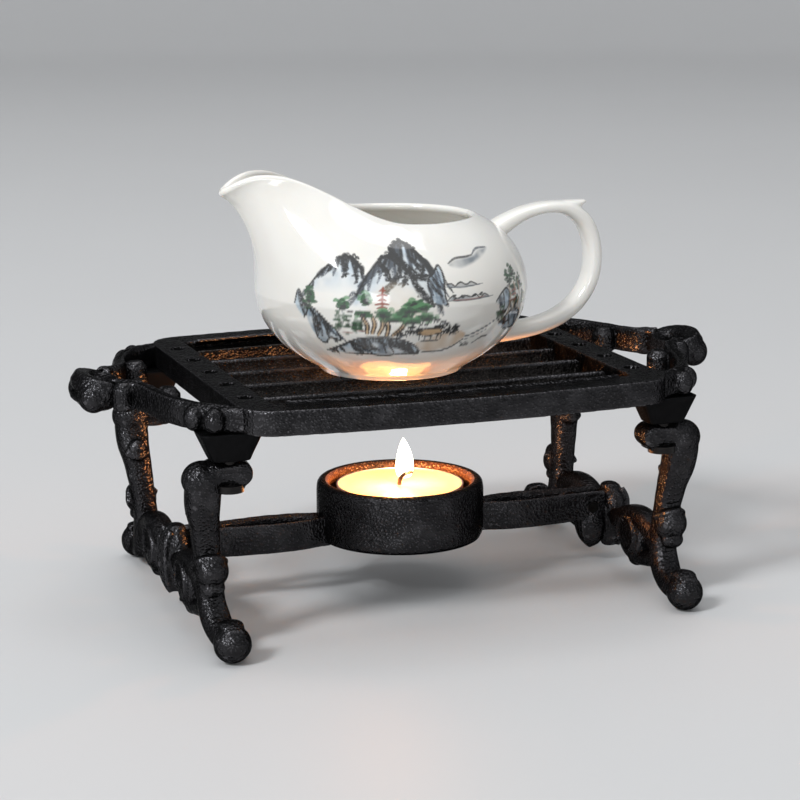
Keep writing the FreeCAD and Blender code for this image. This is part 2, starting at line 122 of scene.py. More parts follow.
class Side(Enum):
    """The two ends of the stand, as signs of X."""

    LEFT = -1
    RIGHT = 1

    @property
    def tag(self) -> str:
        """Name of the end as the nodes spell it."""
        return self.name.lower()

    @property
    def signs(self) -> tuple[int, int]:
        """Signs of X and Y for a copy of a right piece."""
        return self.value, -1


@dataclass(frozen=True)
class Extent:
    """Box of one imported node, in millimetres."""

    low: Vector
    high: Vector

    @classmethod
    def of(cls, node: str) -> "Extent":
        """Read the box of a node from the frame."""
        low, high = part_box(node)
        return cls(Vector(low) / MM, Vector(high) / MM)

    @property
    def centre(self) -> Vector:
        """Middle of the box."""
        return (self.low + self.high) / 2

    @property
    def size(self) -> Vector:
        """Length of the box along each axis."""
        return self.high - self.low


def box_of(node: str) -> Any:
    """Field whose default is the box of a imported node."""
    return field(default_factory=lambda: Extent.of(node))


# ---------------------------------------------------------------- shaping


def smooth_rows(rows: Sequence[Row], steps: int, closed: bool = False) -> Array:
    """Run a smooth line through rows of numbers.

    Args:
        rows: Points, with any further numbers such as radii behind the coordinates.
        steps: Samples between two rows.
        closed: Whether the last row runs on into the first.

    Returns:
        The sampled rows.
    """
    knots = np.array(rows, dtype=float)
    if closed:
        padded = np.vstack([knots[-1:], knots, knots[:2]])
        spans = len(knots)
    else:
        padded = np.vstack([2 * knots[0] - knots[1], knots, 2 * knots[-1] - knots[-2]])
        spans = len(knots) - 1
    samples = []
    for span in range(spans):
        before, start, end, after = padded[span:span + 4]
        for step in range(steps):
            t = step / steps
            samples.append(0.5 * (2 * start + (end - before) * t
                                  + (2 * before - 5 * start + 4 * end - after) * t ** 2
                                  + (3 * start - before - 3 * end + after) * t ** 3))
    if not closed:
        samples.append(knots[-1])
    return np.array(samples)


def ease(low: float, high: float, value: Array) -> Array:
    """Smooth step from 0 at low to 1 at high."""
    t = np.clip((value - low) / (high - low), 0.0, 1.0)
    return t * t * (3 - 2 * t)


def unit(rows: Array) -> Array:
    """Scale each row to length one."""
    return rows / np.maximum(np.linalg.norm(rows, axis=-1, keepdims=True), 1e-9)


def ripple(points: Array, grain: float, seed: float = 0.0) -> Array:
    """Sample soft noise at each point.

    Args:
        points: Points in millimetres.
        grain: Size of the lumps in millimetres.
        seed: Shift that makes one field differ from another.

    Returns:
        One value from about -1 to 1 for each point.
    """
    shift = Vector((seed, -seed, 2 * seed))
    return np.array([noise.noise(Vector(point) / grain + shift) for point in points])


def grid_faces(rows: int, columns: int, wrap: bool) -> list[Face]:
    """Quads of a grid of points, wrapped round along its columns if asked."""
    last = columns if wrap else columns - 1
    return [(r * columns + c, r * columns + (c + 1) % columns,
             (r + 1) * columns + (c + 1) % columns, (r + 1) * columns + c)
            for r in range(rows - 1) for c in range(last)]


class Clay:
    """Closed shells that are pressed together and cast as one smooth piece."""

    def __init__(self) -> None:
        """Start with nothing."""
        self.points: list[Array] = []
        self.faces: list[Face] = []
        self.count = 0

    def add(self, points: Array, faces: Iterable[Face]) -> None:
        """Press one closed shell on."""
        self.faces.extend(tuple(index + self.count for index in face) for face in faces)
        self.points.append(np.asarray(points, dtype=float))
        self.count += len(points)

    def tube(self, stations: Sequence[Row], across: Row, power: float = 2.0, sides: int = 24,
             steps: int = 6) -> None:
        """Press on a bar of changing section along a smooth line.

        Args:
            stations: Rows of x, y, z, half width along the across axis and half width square to it.
            across: Axis that the section's first half width follows.
            power: 2 for an ellipse, more for a squarer section.
            sides: Points round the section.
            steps: Sections between two stations.
        """
        rows = smooth_rows(stations, steps)
        centre, half_a, half_b = rows[:, :3], rows[:, 3:4], rows[:, 4:5]
        tangent = unit(np.gradient(centre, axis=0))
        second = unit(np.cross(tangent, np.array(across, dtype=float)))
        first = unit(np.cross(second, tangent))
        turn = np.linspace(0, 2 * math.pi, sides, endpoint=False)
        cosine, sine = np.cos(turn), np.sin(turn)
        a = np.sign(cosine) * np.abs(cosine) ** (2 / power)
        b = np.sign(sine) * np.abs(sine) ** (2 / power)
        rings = (centre[:, None, :] + first[:, None, :] * (half_a * a)[:, :, None]
                 + second[:, None, :] * (half_b * b)[:, :, None])
        count = len(rows)
        points = np.vstack([rings.reshape(-1, 3), centre[:1], centre[-1:]])
        faces = grid_faces(count, sides, True)
        start, end = count * sides, count * sides + 1
        for c in range(sides):
            following = (c + 1) % sides
            faces.append((start, following, c))
            faces.append((end, (count - 1) * sides + c, (count - 1) * sides + following))
        self.add(points, faces)

    def lathe(self, centre: Row, axis: Row, profile: Sequence[Row], sides: int = 40) -> None:
        """Press on a turned shape.

        Args:
            centre: Point on the axis from which heights count.
            axis: Direction of the axis.
            profile: Pairs of radius and height, from one end to the other.
            sides: Points round the axis.
        """
        pole = Vector(axis).normalized()
        first = pole.orthogonal().normalized()
        if abs(pole.x) > 0.9:
            first = Vector(Y_AXIS)
        second = pole.cross(first)
        turn = np.linspace(0, 2 * math.pi, sides, endpoint=False)
        ring = np.outer(np.cos(turn), first) + np.outer(np.sin(turn), second)
        base = np.array(centre, dtype=float)
        rows = [base + np.array(pole) * height + ring * radius for radius, height in profile]
        ends = np.array([base + np.array(pole) * profile[0][1], base + np.array(pole) * profile[-1][1]])
        faces = grid_faces(len(profile), sides, True)
        start = len(profile) * sides
        for c in range(sides):
            following = (c + 1) % sides
            faces.append((start, following, c))
            faces.append((start + 1, (len(profile) - 1) * sides + c, (len(profile) - 1) * sides + following))
        self.add(np.vstack(rows + [ends]), faces)

    def ball(self, centre: Row, radii: Row) -> None:
        """Press on an ellipsoid with three radii."""
        rows, sides = 14, 24
        lift = np.linspace(-math.pi / 2, math.pi / 2, rows)
        turn = np.linspace(0, 2 * math.pi, sides, endpoint=False)
        grid = np.stack([np.outer(np.cos(lift), np.cos(turn)), np.outer(np.cos(lift), np.sin(turn)),
                         np.outer(np.sin(lift), np.ones(sides))], axis=-1)
        self.add(grid.reshape(-1, 3) * np.array(radii) + np.array(centre), grid_faces(rows, sides, True))

    def cord(self, points: Sequence[Row], radius: float, closed: bool = False) -> None:
        """Press on a thin round ridge along a smooth line."""
        rows = smooth_rows(points, 6, closed)
        if closed:
            rows = np.vstack([rows, rows[:1]])
        stations = [tuple(row) + (radius, radius) for row in rows]
        spread = np.ptp(rows, axis=0)
        across = [0.0, 0.0, 0.0]
        across[int(np.argmin(spread))] = 1.0
        self.tube(stations, tuple(across), sides=10, steps=1)

    def slab(self, low: Row, high: Row) -> None:
        """Press on a box."""
        low_v, high_v = np.array(low), np.array(high)
        middle, half = (low_v + high_v) / 2, (high_v - low_v) / 2
        signs = ((-1, -1), (1, -1), (1, 1), (-1, 1))
        base = [(middle[0] + sx * half[0], middle[1] + sy * half[1], low[2]) for sx, sy in signs]
        top = [(x, y, high[2]) for x, y, _ in base]
        faces = [(3, 2, 1, 0), (4, 5, 6, 7)] + [(i, (i + 1) % 4, 4 + (i + 1) % 4, 4 + i) for i in range(4)]
        self.add(np.array(base + top), faces)

    def cast(self, name: str, voxel: float = 0.42, rounds: int = 3,
             carve: Callable[[Array], Array] | None = None, lumps: float = 0.07) -> Piece:
        """Melt the shells into one skin and soften it as a casting is.

        Args:
            name: Name of the new piece.
            voxel: Size of the grid that the skin is taken from.
            rounds: Passes of smoothing, which round edges and fill inner corners.
            carve: Function of points that returns moved points.
            lumps: Height of the soft unevenness of the skin.

        Returns:
            The cast piece.
        """
        rough = make_object(name + "_rough", np.vstack(self.points), self.faces)
        remesh = rough.modifiers.new("skin", "REMESH")
        remesh.mode = "VOXEL"
        remesh.voxel_size = voxel * MM
        soften = rough.modifiers.new("soften", "SMOOTH")
        soften.factor = 0.5
        soften.iterations = rounds
        mesh = evaluated_mesh(rough)
        bpy.data.objects.remove(rough)
        points, normals = mesh_arrays(mesh)
        if lumps:
            points = points + normals * (lumps * ripple(points, 3.2, len(name)))[:, None]
        if carve:
            points = carve(points)
        mesh.vertices.foreach_set("co", (points * MM).ravel())
        return wrap_mesh(name, mesh)


def make_object(name: str, points: Array, faces: Sequence[Face]) -> Piece:
    """Make a mesh object from points in millimetres."""
    mesh = bpy.data.meshes.new(name)
    mesh.from_pydata((np.asarray(points) * MM).tolist(), [], faces)
    return wrap_mesh(name, mesh)


def wrap_mesh(name: str, mesh: bpy.types.Mesh) -> Piece:
    """Put a mesh into the scene as a smooth-shaded object."""
    mesh.name = name
    mesh.polygons.foreach_set("use_smooth", [True] * len(mesh.polygons))
    mesh.update()
    piece = bpy.data.objects.new(name, mesh)
    bpy.context.scene.collection.objects.link(piece)
    return piece


def evaluated_mesh(piece: Piece) -> bpy.types.Mesh:
    """Copy the mesh that a piece's modifiers give."""
    graph = bpy.context.evaluated_depsgraph_get()
    return bpy.data.meshes.new_from_object(piece.evaluated_get(graph))


def mesh_arrays(mesh: bpy.types.Mesh) -> tuple[Array, Array]:
    """Read a mesh's points in millimetres and its unit normals."""
    points = np.empty(len(mesh.vertices) * 3)
    mesh.vertices.foreach_get("co", points)
    normals = np.empty(len(mesh.vertices) * 3)
    mesh.vertex_normals.foreach_get("vector", normals)
    return points.reshape(-1, 3) / MM, normals.reshape(-1, 3)


def mirrored(piece: Piece, name: str, side_x: int, side_y: int) -> Piece:
    """Copy a piece of the right front corner to another corner.

    Args:
        piece: The master piece.
        name: Name of the copy.
        side_x: 1 for the right, -1 for the left.
        side_y: -1 for the front, 1 for the back.

    Returns:
        The copy.
    """
    scale = (side_x, -side_y, 1)
    mesh = piece.data.copy()
    mesh.transform(Matrix.Diagonal((*scale, 1)))
    if scale[0] * scale[1] < 0:
        mesh.flip_normals()
    return wrap_mesh(name, mesh)


# ---------------------------------------------------------------- shader building


class Shade:
    """A node tree that is built from typed calls."""

    def __init__(self, name: str) -> None:
        """Start a material with an empty tree."""
        self.material = bpy.data.materials.new(name)
        self.material.use_nodes = True
        self.tree = self.material.node_tree
        self.tree.nodes.clear()
        self.output = self.tree.nodes.new("ShaderNodeOutputMaterial")

    def node(self, kind: str, settings: dict[str, Any] | None = None, out: int | str = 0,
             **inputs: Any) -> "Wire":
        """Add a node.

        Args:
            kind: Type of the node, without its ShaderNode prefix.
            settings: Properties set first; "stops" are the places and colours of a ramp.
            out: Output that is handed back.
            **inputs: Values or wires by input name with underscores for spaces, or i0, i1 by place.

        Returns:
            The chosen output.
        """
        made = self.tree.nodes.new("ShaderNode" + kind)
        for key, value in (settings or {}).items():
            if key == "stops":
                ramp = made.color_ramp
                while len(ramp.elements) < len(value):
                    ramp.elements.new(0.5)
                for element, (place, colour) in zip(ramp.elements, value):
                    element.position = place
                    element.color = (*colour, 1.0)
            else:
                setattr(made, key, value)
        for key, value in inputs.items():
            if key[0] == "i" and key[1:].isdigit():
                socket = made.inputs[int(key[1:])]
            else:
                socket = made.inputs[key.replace("_", " ")]
            self.feed(socket, value)
        return Wire(self, made.outputs[out])

    def feed(self, socket: bpy.types.NodeSocket, value: Any) -> None:
        """Link a wire to a socket, or set the socket's value."""
        if isinstance(value, Wire):
            self.tree.links.new(value.socket, socket)
        elif isinstance(value, (tuple, list)) and len(socket.default_value) == 4 and len(value) == 3:
            socket.default_value = (*value, 1.0)
        else:
            socket.default_value = value

    def place(self, scale: Row = (1.0, 1.0, 1.0)) -> "Wire":
        """Object coordinates in millimetres, stretched by a scale."""
        spot = self.node("TexCoord", out="Object")
        factor = tuple(value / MM for value in scale)
        return self.node("VectorMath", {"operation": "MULTIPLY"}, i0=spot, i1=factor)

    def noise(self, at: "Wire", scale: float, detail: float = 3.0, rough: float = 0.55) -> "Wire":
        """Soft noise whose features are 1/scale millimetres wide."""
        return self.node("TexNoise", out="Fac", Vector=at, Scale=scale, Detail=detail, Roughness=rough)

    def mix(self, mask: "Wire | float", low: Any, high: Any) -> "Wire":
        """Blend two colours by a mask."""
        return self.node("Mix", {"data_type": "RGBA"}, out=2, i0=mask, i6=low, i7=high)

    def ramp(self, value: "Wire", low: float, high: float) -> "Wire":
        """Rescale a value so that low gives 0 and high gives 1, with soft ends."""
        return self.node("MapRange", {"interpolation_type": "SMOOTHSTEP"}, i0=value, i1=low, i2=high)

    def bump(self, height: "Wire", strength: float, distance: float) -> "Wire":
        """Turn a height into a normal; the distance is in millimetres."""
        return self.node("Bump", Height=height, Strength=strength, Distance=distance * MM)

    def surface(self, **inputs: Any) -> Material:
        """Finish with one Principled shader.

        Args:
            **inputs: Values or wires of the shader's sockets.

        Returns:
            The finished material.
        """
        shader = self.node("BsdfPrincipled", **inputs)
        self.tree.links.new(shader.socket, self.output.inputs["Surface"])
        return self.material


class Wire:
    """An output socket with arithmetic."""

    def __init__(self, shade: Shade, socket: bpy.types.NodeSocket) -> None:
        """Hold one output of a tree."""
        self.shade = shade
        self.socket = socket

    def maths(self, operation: str, *values: Any) -> "Wire":
        """Add a Math node on this value and others."""
        inputs = {f"i{index}": value for index, value in enumerate(values)}
        return self.shade.node("Math", {"operation": operation}, **inputs)

    def __add__(self, other: Any) -> "Wire":
        """Sum."""
        return self.maths("ADD", self, other)

    __radd__ = __add__

    def __sub__(self, other: Any) -> "Wire":
        """Difference."""
        return self.maths("SUBTRACT", self, other)

    def __rsub__(self, other: Any) -> "Wire":
        """Difference from a number."""
        return self.maths("SUBTRACT", other, self)

    def __mul__(self, other: Any) -> "Wire":
        """Product."""
        return self.maths("MULTIPLY", self, other)

    __rmul__ = __mul__

    def clamp(self) -> "Wire":
        """Keep the value between 0 and 1."""
        return self.shade.node("Clamp", i0=self)


# ---------------------------------------------------------------- finishes


@dataclass(frozen=True)
class SandCastIron:
    """Black iron with the pebbly skin of a sand mould."""

    # Colour of the painted shade in hollows and creases.
    pit: Row = (0.004, 0.004, 0.004)
    dark: Row = (0.026, 0.0255, 0.027)
    light: Row = (0.150, 0.146, 0.154)
    rough_low: float = 0.15
    rough_high: float = 0.27
    pebble: float = 1.2
    grit: float = 2.0
    depth: float = 0.27
    edge: Row = (0.05, 0.05, 0.05)
    metal: float = 0.9
    index: float = 1.2

    def build(self, name: str) -> Material:
        """Make the material."""
        shade = Shade(name)
        at = shade.place()
        pebbles = shade.node("TexVoronoi", {"feature": "SMOOTH_F1"}, out="Distance", Vector=at,
                             Scale=self.pebble, Smoothness=0.25, Randomness=1.0)
        grit = shade.noise(at, self.grit, 3.0, 0.65)
        patches = shade.noise(at, 0.16, 3.0)
        raised = shade.node("NewGeometry", out="Pointiness")
        # Convex edges are lightened: partly wear, partly a painted highlight along lit edges.
        wear_and_edge_highlight = shade.ramp(raised, 0.505, 0.57)
        height = pebbles * -1.0 + grit * 0.3
        cover = shade.ramp(patches, 0.4, 0.8) * 0.2 + wear_and_edge_highlight * 0.5
        tone = (cover + (1 - shade.ramp(pebbles, 0.05, 0.4)) * 0.35).clamp()
        # Painted shade: concave places (low pointiness) are darkened toward the hollow shade colour.
        hollow = 1 - shade.ramp(raised, 0.455, 0.492)
        skin = shade.mix(tone, self.dark, self.light)
        rough_span = self.rough_high - self.rough_low
        return shade.surface(
            Base_Color=shade.mix(hollow, skin, self.pit), Metallic=self.metal, IOR=self.index,
            Specular_Tint=self.edge,
            Roughness=shade.ramp(patches, 0.3, 0.7) * rough_span + self.rough_low,
            Normal=shade.bump(height, 1.0, self.depth))


@dataclass(frozen=True)
class PlainIron:
    """Dark grey iron with a dull, fine skin, on the corner blocks; a much darker copy paints the shade in the
    rim's dimples.
    """

    dark: Row = (0.0065, 0.0065, 0.007)
    light: Row = (0.012, 0.012, 0.0125)
    rough: float = 0.5
    metal: float = 0.8
    index: float = 1.2
    edge: Row = (0.15, 0.15, 0.15)

    def build(self, name: str) -> Material:
        """Make the material."""
        shade = Shade(name)
        at = shade.place()
        grain = shade.noise(at, 3.0, 4.0, 0.65)
        patches = shade.noise(at, 0.35, 2.0)
        return shade.surface(
            Base_Color=shade.mix(patches, self.dark, self.light), Metallic=self.metal, IOR=self.index,
            Specular_Tint=self.edge,
            Roughness=grain * 0.15 + (self.rough - 0.08),
            Normal=shade.bump(grain, 0.5, 0.12))


@dataclass(frozen=True)
class CandleLitIron:
    """Iron inside the cup, painted warm brown and orange as the candle's light falling on it."""

    dark: Row = (0.055, 0.026, 0.014)
    light: Row = (0.34, 0.20, 0.11)
    depth: float = 0.25

    def build(self, name: str) -> Material:
        """Make the material."""
        shade = Shade(name)
        at = shade.place()
        pebbles = shade.node("TexVoronoi", {"feature": "SMOOTH_F1"}, out="Distance", Vector=at,
                             Scale=1.3, Smoothness=0.25, Randomness=1.0)
        return shade.surface(
            Base_Color=shade.mix(1 - shade.ramp(pebbles, 0.05, 0.45), self.dark, self.light), Metallic=0.6,
            Roughness=pebbles * 0.1 + 0.25, Normal=shade.bump(pebbles * -1.0, 1.0, self.depth))


@dataclass(frozen=True)
class Glaze:
    """White porcelain under a clear glossy glaze."""

    body: Row = (0.86, 0.845, 0.80)
    shadow: Row = (0.80, 0.775, 0.72)
    ink: str = "painting"

    def build(self, name: str, painted: bool) -> Material:
        """Make the material.

        Args:
            name: Name of the material.
            painted: Whether the piece carries the painting as a colour layer.

        Returns:
            The material.
        """
        shade = Shade(name)
        at = shade.place()
        drift = shade.noise(at, 0.035, 2.0)
        base = shade.mix(shade.ramp(drift, 0.35, 0.7), self.body, self.shadow)
        if painted:
            layer = shade.node("Attribute", {"attribute_name": self.ink}, out="Color")
            base = shade.node("Mix", {"data_type": "RGBA", "blend_type": "MULTIPLY"}, out=2,
                              i0=1.0, i6=base, i7=layer)
        waves = shade.noise(at, 0.06, 1.0)
        return shade.surface(
            Base_Color=base, Roughness=0.09, Specular_IOR_Level=0.5,
            Subsurface_Weight=0.12, Subsurface_Radius=(1.0, 0.75, 0.5), Subsurface_Scale=2.0 * MM,
            Coat_Weight=0.6, Coat_Roughness=0.03,
            Normal=shade.bump(waves, 0.05, 0.6))


@dataclass(frozen=True)
class DrawnFoil:
    """Thin drawn metal of the tealight's cup."""

    colour: Row = (0.72, 0.71, 0.70)

    def build(self, name: str) -> Material:
        """Make the material."""
        shade = Shade(name)
        at = shade.place((1.0, 1.0, 0.1))
        drawn = shade.noise(at, 2.2, 2.0)
        return shade.surface(
            Base_Color=shade.mix(drawn, self.colour, (0.60, 0.58, 0.56)), Metallic=1.0,
            Roughness=drawn * 0.15 + 0.22, Normal=shade.bump(drawn, 0.3, 0.05))


@dataclass(frozen=True)
class GlowingWax:
    """Warm wax that is lit through by its own flame."""

    edge: Row = (1.0, 0.80, 0.42)
    middle: Row = (1.0, 0.92, 0.64)
    radius: float = 18.5
    glow: float = 0.55

    def build(self, name: str) -> Material:
        """Make the material."""
        shade = Shade(name)
        at = shade.place()
        flat = shade.node("VectorMath", {"operation": "MULTIPLY"}, i0=at, i1=(1.0, 1.0, 0.0))
        reach = shade.node("VectorMath", {"operation": "LENGTH"}, out="Value", i0=flat)
        mottle = shade.noise(at, 0.22, 2.0)
        # Painted glow: the emission stands in for the flame's light shining through the wax, paler and brighter
        # toward the middle; the base colour is darker there.
        inner = 1 - shade.ramp(reach + mottle * 5.0, self.radius * 0.25, self.radius * 1.05)
        tint = shade.mix(inner, self.edge, self.middle)
        return shade.surface(
            Base_Color=shade.mix(inner, (0.34, 0.25, 0.10), (0.20, 0.16, 0.09)),
            Roughness=shade.ramp(reach, 4.0, 12.0) * 0.15 + 0.30,
            Subsurface_Weight=0.4, Subsurface_Radius=(1.0, 0.7, 0.35), Subsurface_Scale=4.0 * MM,
            Coat_Weight=0.3, Coat_Roughness=0.08,
            Emission_Color=tint, Emission_Strength=self.glow,
            Normal=shade.bump(mottle, 0.25, 0.5))


@dataclass(frozen=True)
class CharredWick:
    """Braided cotton, burnt dark at its end."""

    def build(self, name: str, tip: float, foot: float) -> Material:
        """Make the material, charred from the foot height to the tip height."""
        shade = Shade(name)
        at = shade.place()
        height = shade.node("SeparateXYZ", out=2, i0=at)
        braid = shade.noise(at, 2.6, 2.0)
        burnt = shade.ramp(height + braid * 0.8, foot, foot + (tip - foot) * 0.35)
        return shade.surface(
            Base_Color=shade.mix(burnt, (0.16, 0.09, 0.05), (0.012, 0.008, 0.007)),
            Roughness=braid * 0.1 + 0.8, Normal=shade.bump(braid, 0.7, 0.15))


@dataclass(frozen=True)
class FlameGlow:
    """Burning gas, white hot in its body and warm at its edge."""

    core: Row = (1.0, 0.90, 0.62)
    rim: Row = (1.0, 0.55, 0.22)
    strength: float = 14.0

    def build(self, name: str, low: float, high: float) -> Material:
        """Make the material between the flame's two heights."""
        shade = Shade(name)
        at = shade.place()
        height = shade.node("SeparateXYZ", out=2, i0=at)
        rise = shade.ramp(height, low - 0.5, low + (high - low) * 0.40)
        facing = shade.node("LayerWeight", out="Facing", Blend=0.5)
        colour = shade.mix(rise, self.rim, self.core)
        body = (1 - shade.ramp(facing, 0.35, 1.0)) * (rise * 0.65 + 0.35)
        return shade.surface(
            Base_Color=(0.0, 0.0, 0.0), Specular_IOR_Level=0.0, Roughness=1.0,
            Emission_Color=colour, Emission_Strength=self.strength, Alpha=body)


@dataclass(frozen=True)
class BlackenedSteel:
    """Oiled dark steel of the screws and pins."""

    def build(self, name: str) -> Material:
        """Make the material."""
        shade = Shade(name)
        at = shade.place()
        stain = shade.noise(at, 0.8, 3.0)
        return shade.surface(
            Base_Color=shade.mix(stain, (0.012, 0.011, 0.011), (0.030, 0.028, 0.027)), Metallic=0.9,
            Roughness=stain * 0.2 + 0.30, Normal=shade.bump(stain, 0.4, 0.1))


@dataclass(frozen=True)
class PaleCard:
    """Pale studio card of the floor and the backdrop."""

    tone: Row = (0.60, 0.60, 0.60)

    def build(self, name: str) -> Material:
        """Make the material."""
        shade = Shade(name)
        fibre = shade.noise(shade.place(), 0.004, 2.0)
        return shade.surface(
            Base_Color=shade.mix(fibre, self.tone, tuple(v * 1.03 for v in self.tone)), Roughness=0.55,
            Specular_IOR_Level=0.25)


def settle(piece: Piece, body: Body, slot: Slot, finish: Material,
           *nodes: str) -> Piece:
    """Give a piece its finish, its body and the nodes that it stands for.

    Args:
        piece: The piece.
        body: Body that it rides on.
        slot: Record slot of its finish; not used.
        finish: Material.
        *nodes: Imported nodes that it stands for.

    Returns:
        The piece.
    """
    piece.data.materials.clear()
    piece.data.materials.append(finish)
    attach(piece, body.value)
    if nodes:
        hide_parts(*nodes)
    log.info("%s: %d faces on %s", piece.name, len(piece.data.polygons), body.value)
    return piece


@dataclass(frozen=True)
class Master:
    """Piece of the right front that is copied to other corners or to both ends.

    Args:
        piece: The piece itself, which is thrown away in the end.
        copy_name: Start of the copies' names.
        node_name: Start of the names of the nodes that they stand for.
        finish: Material.
        slot: Record slot.
    """

    piece: Piece
    copy_name: str
    node_name: str
    finish: Material
    slot: Slot = Slot.CAST_IRON


def place_copies(places: type[Corner] | type[Side], *masters: Master) -> None:
    """Settle mirrored copies of some masters on the stand.

    Args:
        places: Where the copies go.
        *masters: What is copied to each place, in this order.
    """
    for place in places:
        for master in masters:
            copy = mirrored(master.piece, master.copy_name + place.tag, *place.signs)
            settle(copy, Body.STAND, master.slot, master.finish, master.node_name + place.tag)
    for master in masters:
        bpy.data.objects.remove(master.piece)


def dress(piece: Piece, *choices: tuple[Material, Callable[[Vector], bool]]) -> None:
    """Give some faces of a settled piece other finishes.

    Args:
        piece: The piece.
        *choices: Finishes with the test of a place in millimetres; the first that holds is taken.
    """
    for finish, _ in choices:
        piece.data.materials.append(finish)
    for face in piece.data.polygons:
        spot = face.center / MM
        for number, (_, holds) in enumerate(choices, 1):
            if holds(spot):
                face.material_index = number
                break


# ---------------------------------------------------------------- grate


@dataclass
class Grate:
    """Rim with a step and dimples, and the four bars inside it."""

    rim_width: float = 9.5
    corner_radius: float = 10.0
    bow: float = 3.0
    ledge: float = 4.5
    step: float = 2.5
    dimple_radius: float = 2.35
    dimple_depth: float = 2.2
    dimple_pitch: float = 18.5
    dimple_count: int = 5
    dimple_shift: float = 0.3
    inner_radius: float = 3.0
    bead_radius: float = 0.55
    bar_top: float = 1.0
    bar_base: float = 2.3
    bar_count: int = 4
    edge_depth: float = 0.7
    outline_steps: int = 26
    box: Extent = box_of("grate_frame")

    @property
    def dimple_x(self) -> float:
        """How far out the rows of dimples are."""
        return self.box.high.x - self.rim_width / 2 - self.dimple_shift

    def outline(self, inset: float, radius: float) -> Array:
        """Points of the bowed rectangle, shrunk by an inset, in plan."""
        half_x = self.box.high.x - inset
        half_y = self.box.high.y - self.bow - inset
        quarter = []
        for step in range(self.outline_steps):
            x = (half_x - radius) * step / (self.outline_steps - 1)
            quarter.append((x, -(half_y + self.bow * (1 - (x / (half_x - radius)) ** 2))))
        for step in range(1, 9):
            turn = math.pi / 2 * step / 8
            quarter.append((half_x - radius + radius * math.sin(turn),
                            -(half_y - radius) - radius * math.cos(turn)))
        for step in range(1, self.outline_steps):
            quarter.append((half_x, -(half_y - radius) * (1 - step / (self.outline_steps - 1))))
        right = quarter + [(x, -y) for x, y in reversed(quarter[:-1])]
        left = [(-x, y) for x, y in reversed(right[1:-1])]
        return np.array(right + left)

    def shell(self, outer: Array, inner: Array, low: float, high: float) -> tuple[Array, list[Face]]:
        """Close the ring between two outlines and two heights."""
        count = len(outer)
        rings = [np.column_stack([line, np.full(count, z)])
                 for line, z in ((outer, low), (outer, high), (inner, high), (inner, low))]
        faces = [(a * count + c, a * count + (c + 1) % count, b * count + (c + 1) % count, b * count + c)
                 for a, b in ((0, 1), (1, 2), (2, 3), (3, 0)) for c in range(count)]
        return np.vstack(rings), faces

    def dimple(self, points: Array) -> Array:
        """Press the dimples into the end rims."""
        top = points[:, 2] > self.box.high.z - 1.6
        for side in (-1, 1):
            for index in range(self.dimple_count):
                y = (index - (self.dimple_count - 1) / 2) * self.dimple_pitch
                gap = np.hypot(points[:, 0] - side * self.dimple_x, points[:, 1] - y)
                points[:, 2] -= top * self.dimple_depth * (1 - ease(0.62, 1.0, gap / self.dimple_radius))
        return points

    def in_dimple(self, spot: Vector) -> bool:
        """Whether a place on the rim lies inside one of the dimples."""
        nearest = round(spot.y / self.dimple_pitch)
        if abs(nearest) > self.dimple_count // 2 or spot.z > self.box.high.z - 0.2:
            return False
        gap = math.hypot(abs(spot.x) - self.dimple_x, spot.y - nearest * self.dimple_pitch)
        return gap < self.dimple_radius * 0.96

    def in_well(self, spot: Vector) -> bool:
        """Whether a place on the rim lies on its inner walls, below the top edge."""
        reach = self.box.high - Vector((1, 1, 0)) * (self.rim_width - self.edge_depth)
        bowed = reach.y - self.bow * (spot.x / self.box.high.x) ** 2
        return abs(spot.x) < reach.x and abs(spot.y) < bowed and spot.z < self.box.high.z - self.edge_depth

    def build(self, iron: Material, shaded: Material, pit: Material) -> None:
        """Make the rim and the bars.

        Args:
            iron: Finish of what the light reaches.
            shaded: Darker copy of the iron that paints shade on the walls between the bars.
            pit: Much darker iron that paints the shade in the dimples.
        """
        low, high = self.box.low.z, self.box.high.z
        clay = Clay()
        outer = self.outline(0.0, self.corner_radius)
        inner = self.outline(self.rim_width, self.inner_radius)
        clay.add(*self.shell(outer, inner, low, high))
        step_inner = inner.copy()
        step_inner[:, 1] = np.sign(inner[:, 1]) * np.maximum(np.abs(inner[:, 1]) - self.ledge, 0)
        well = inner * np.array([1.01, 1.01])
        clay.add(*self.shell(well, step_inner, low, high - self.step))
        for side in (-1, 1):
            length = inner[:, 0].max() - 4.0
            edge = [(x, side * (np.abs(inner[:, 1]).max() - 0.6 - self.bow * (x / length) ** 2), high + 0.05)
                    for x in np.linspace(-length, length, 9)]
            clay.cord(edge, self.bead_radius)
        rim = clay.cast("grate_rim", voxel=0.5, carve=self.dimple, lumps=0.04)
        settle(rim, Body.STAND, Slot.CAST_IRON, iron, "grate_frame")
        # Painted shade: the rim's inner walls take the darker copy, and the dimples take the much darker iron.
        dress(rim, (shaded, self.in_well), (pit, self.in_dimple))
        for number in range(1, self.bar_count + 1):
            node = f"grate_bar_{number}"
            box = Extent.of(node)
            bar = make_object(f"bar_{number}", *self.bar(box))
            settle(bar, Body.STAND, Slot.CAST_IRON, iron, node)
            # Painted shade: the bar's faces below its top edge take the darker copy.
            dress(bar, (shaded, lambda spot, top=box.high.z: spot.z < top - self.edge_depth))

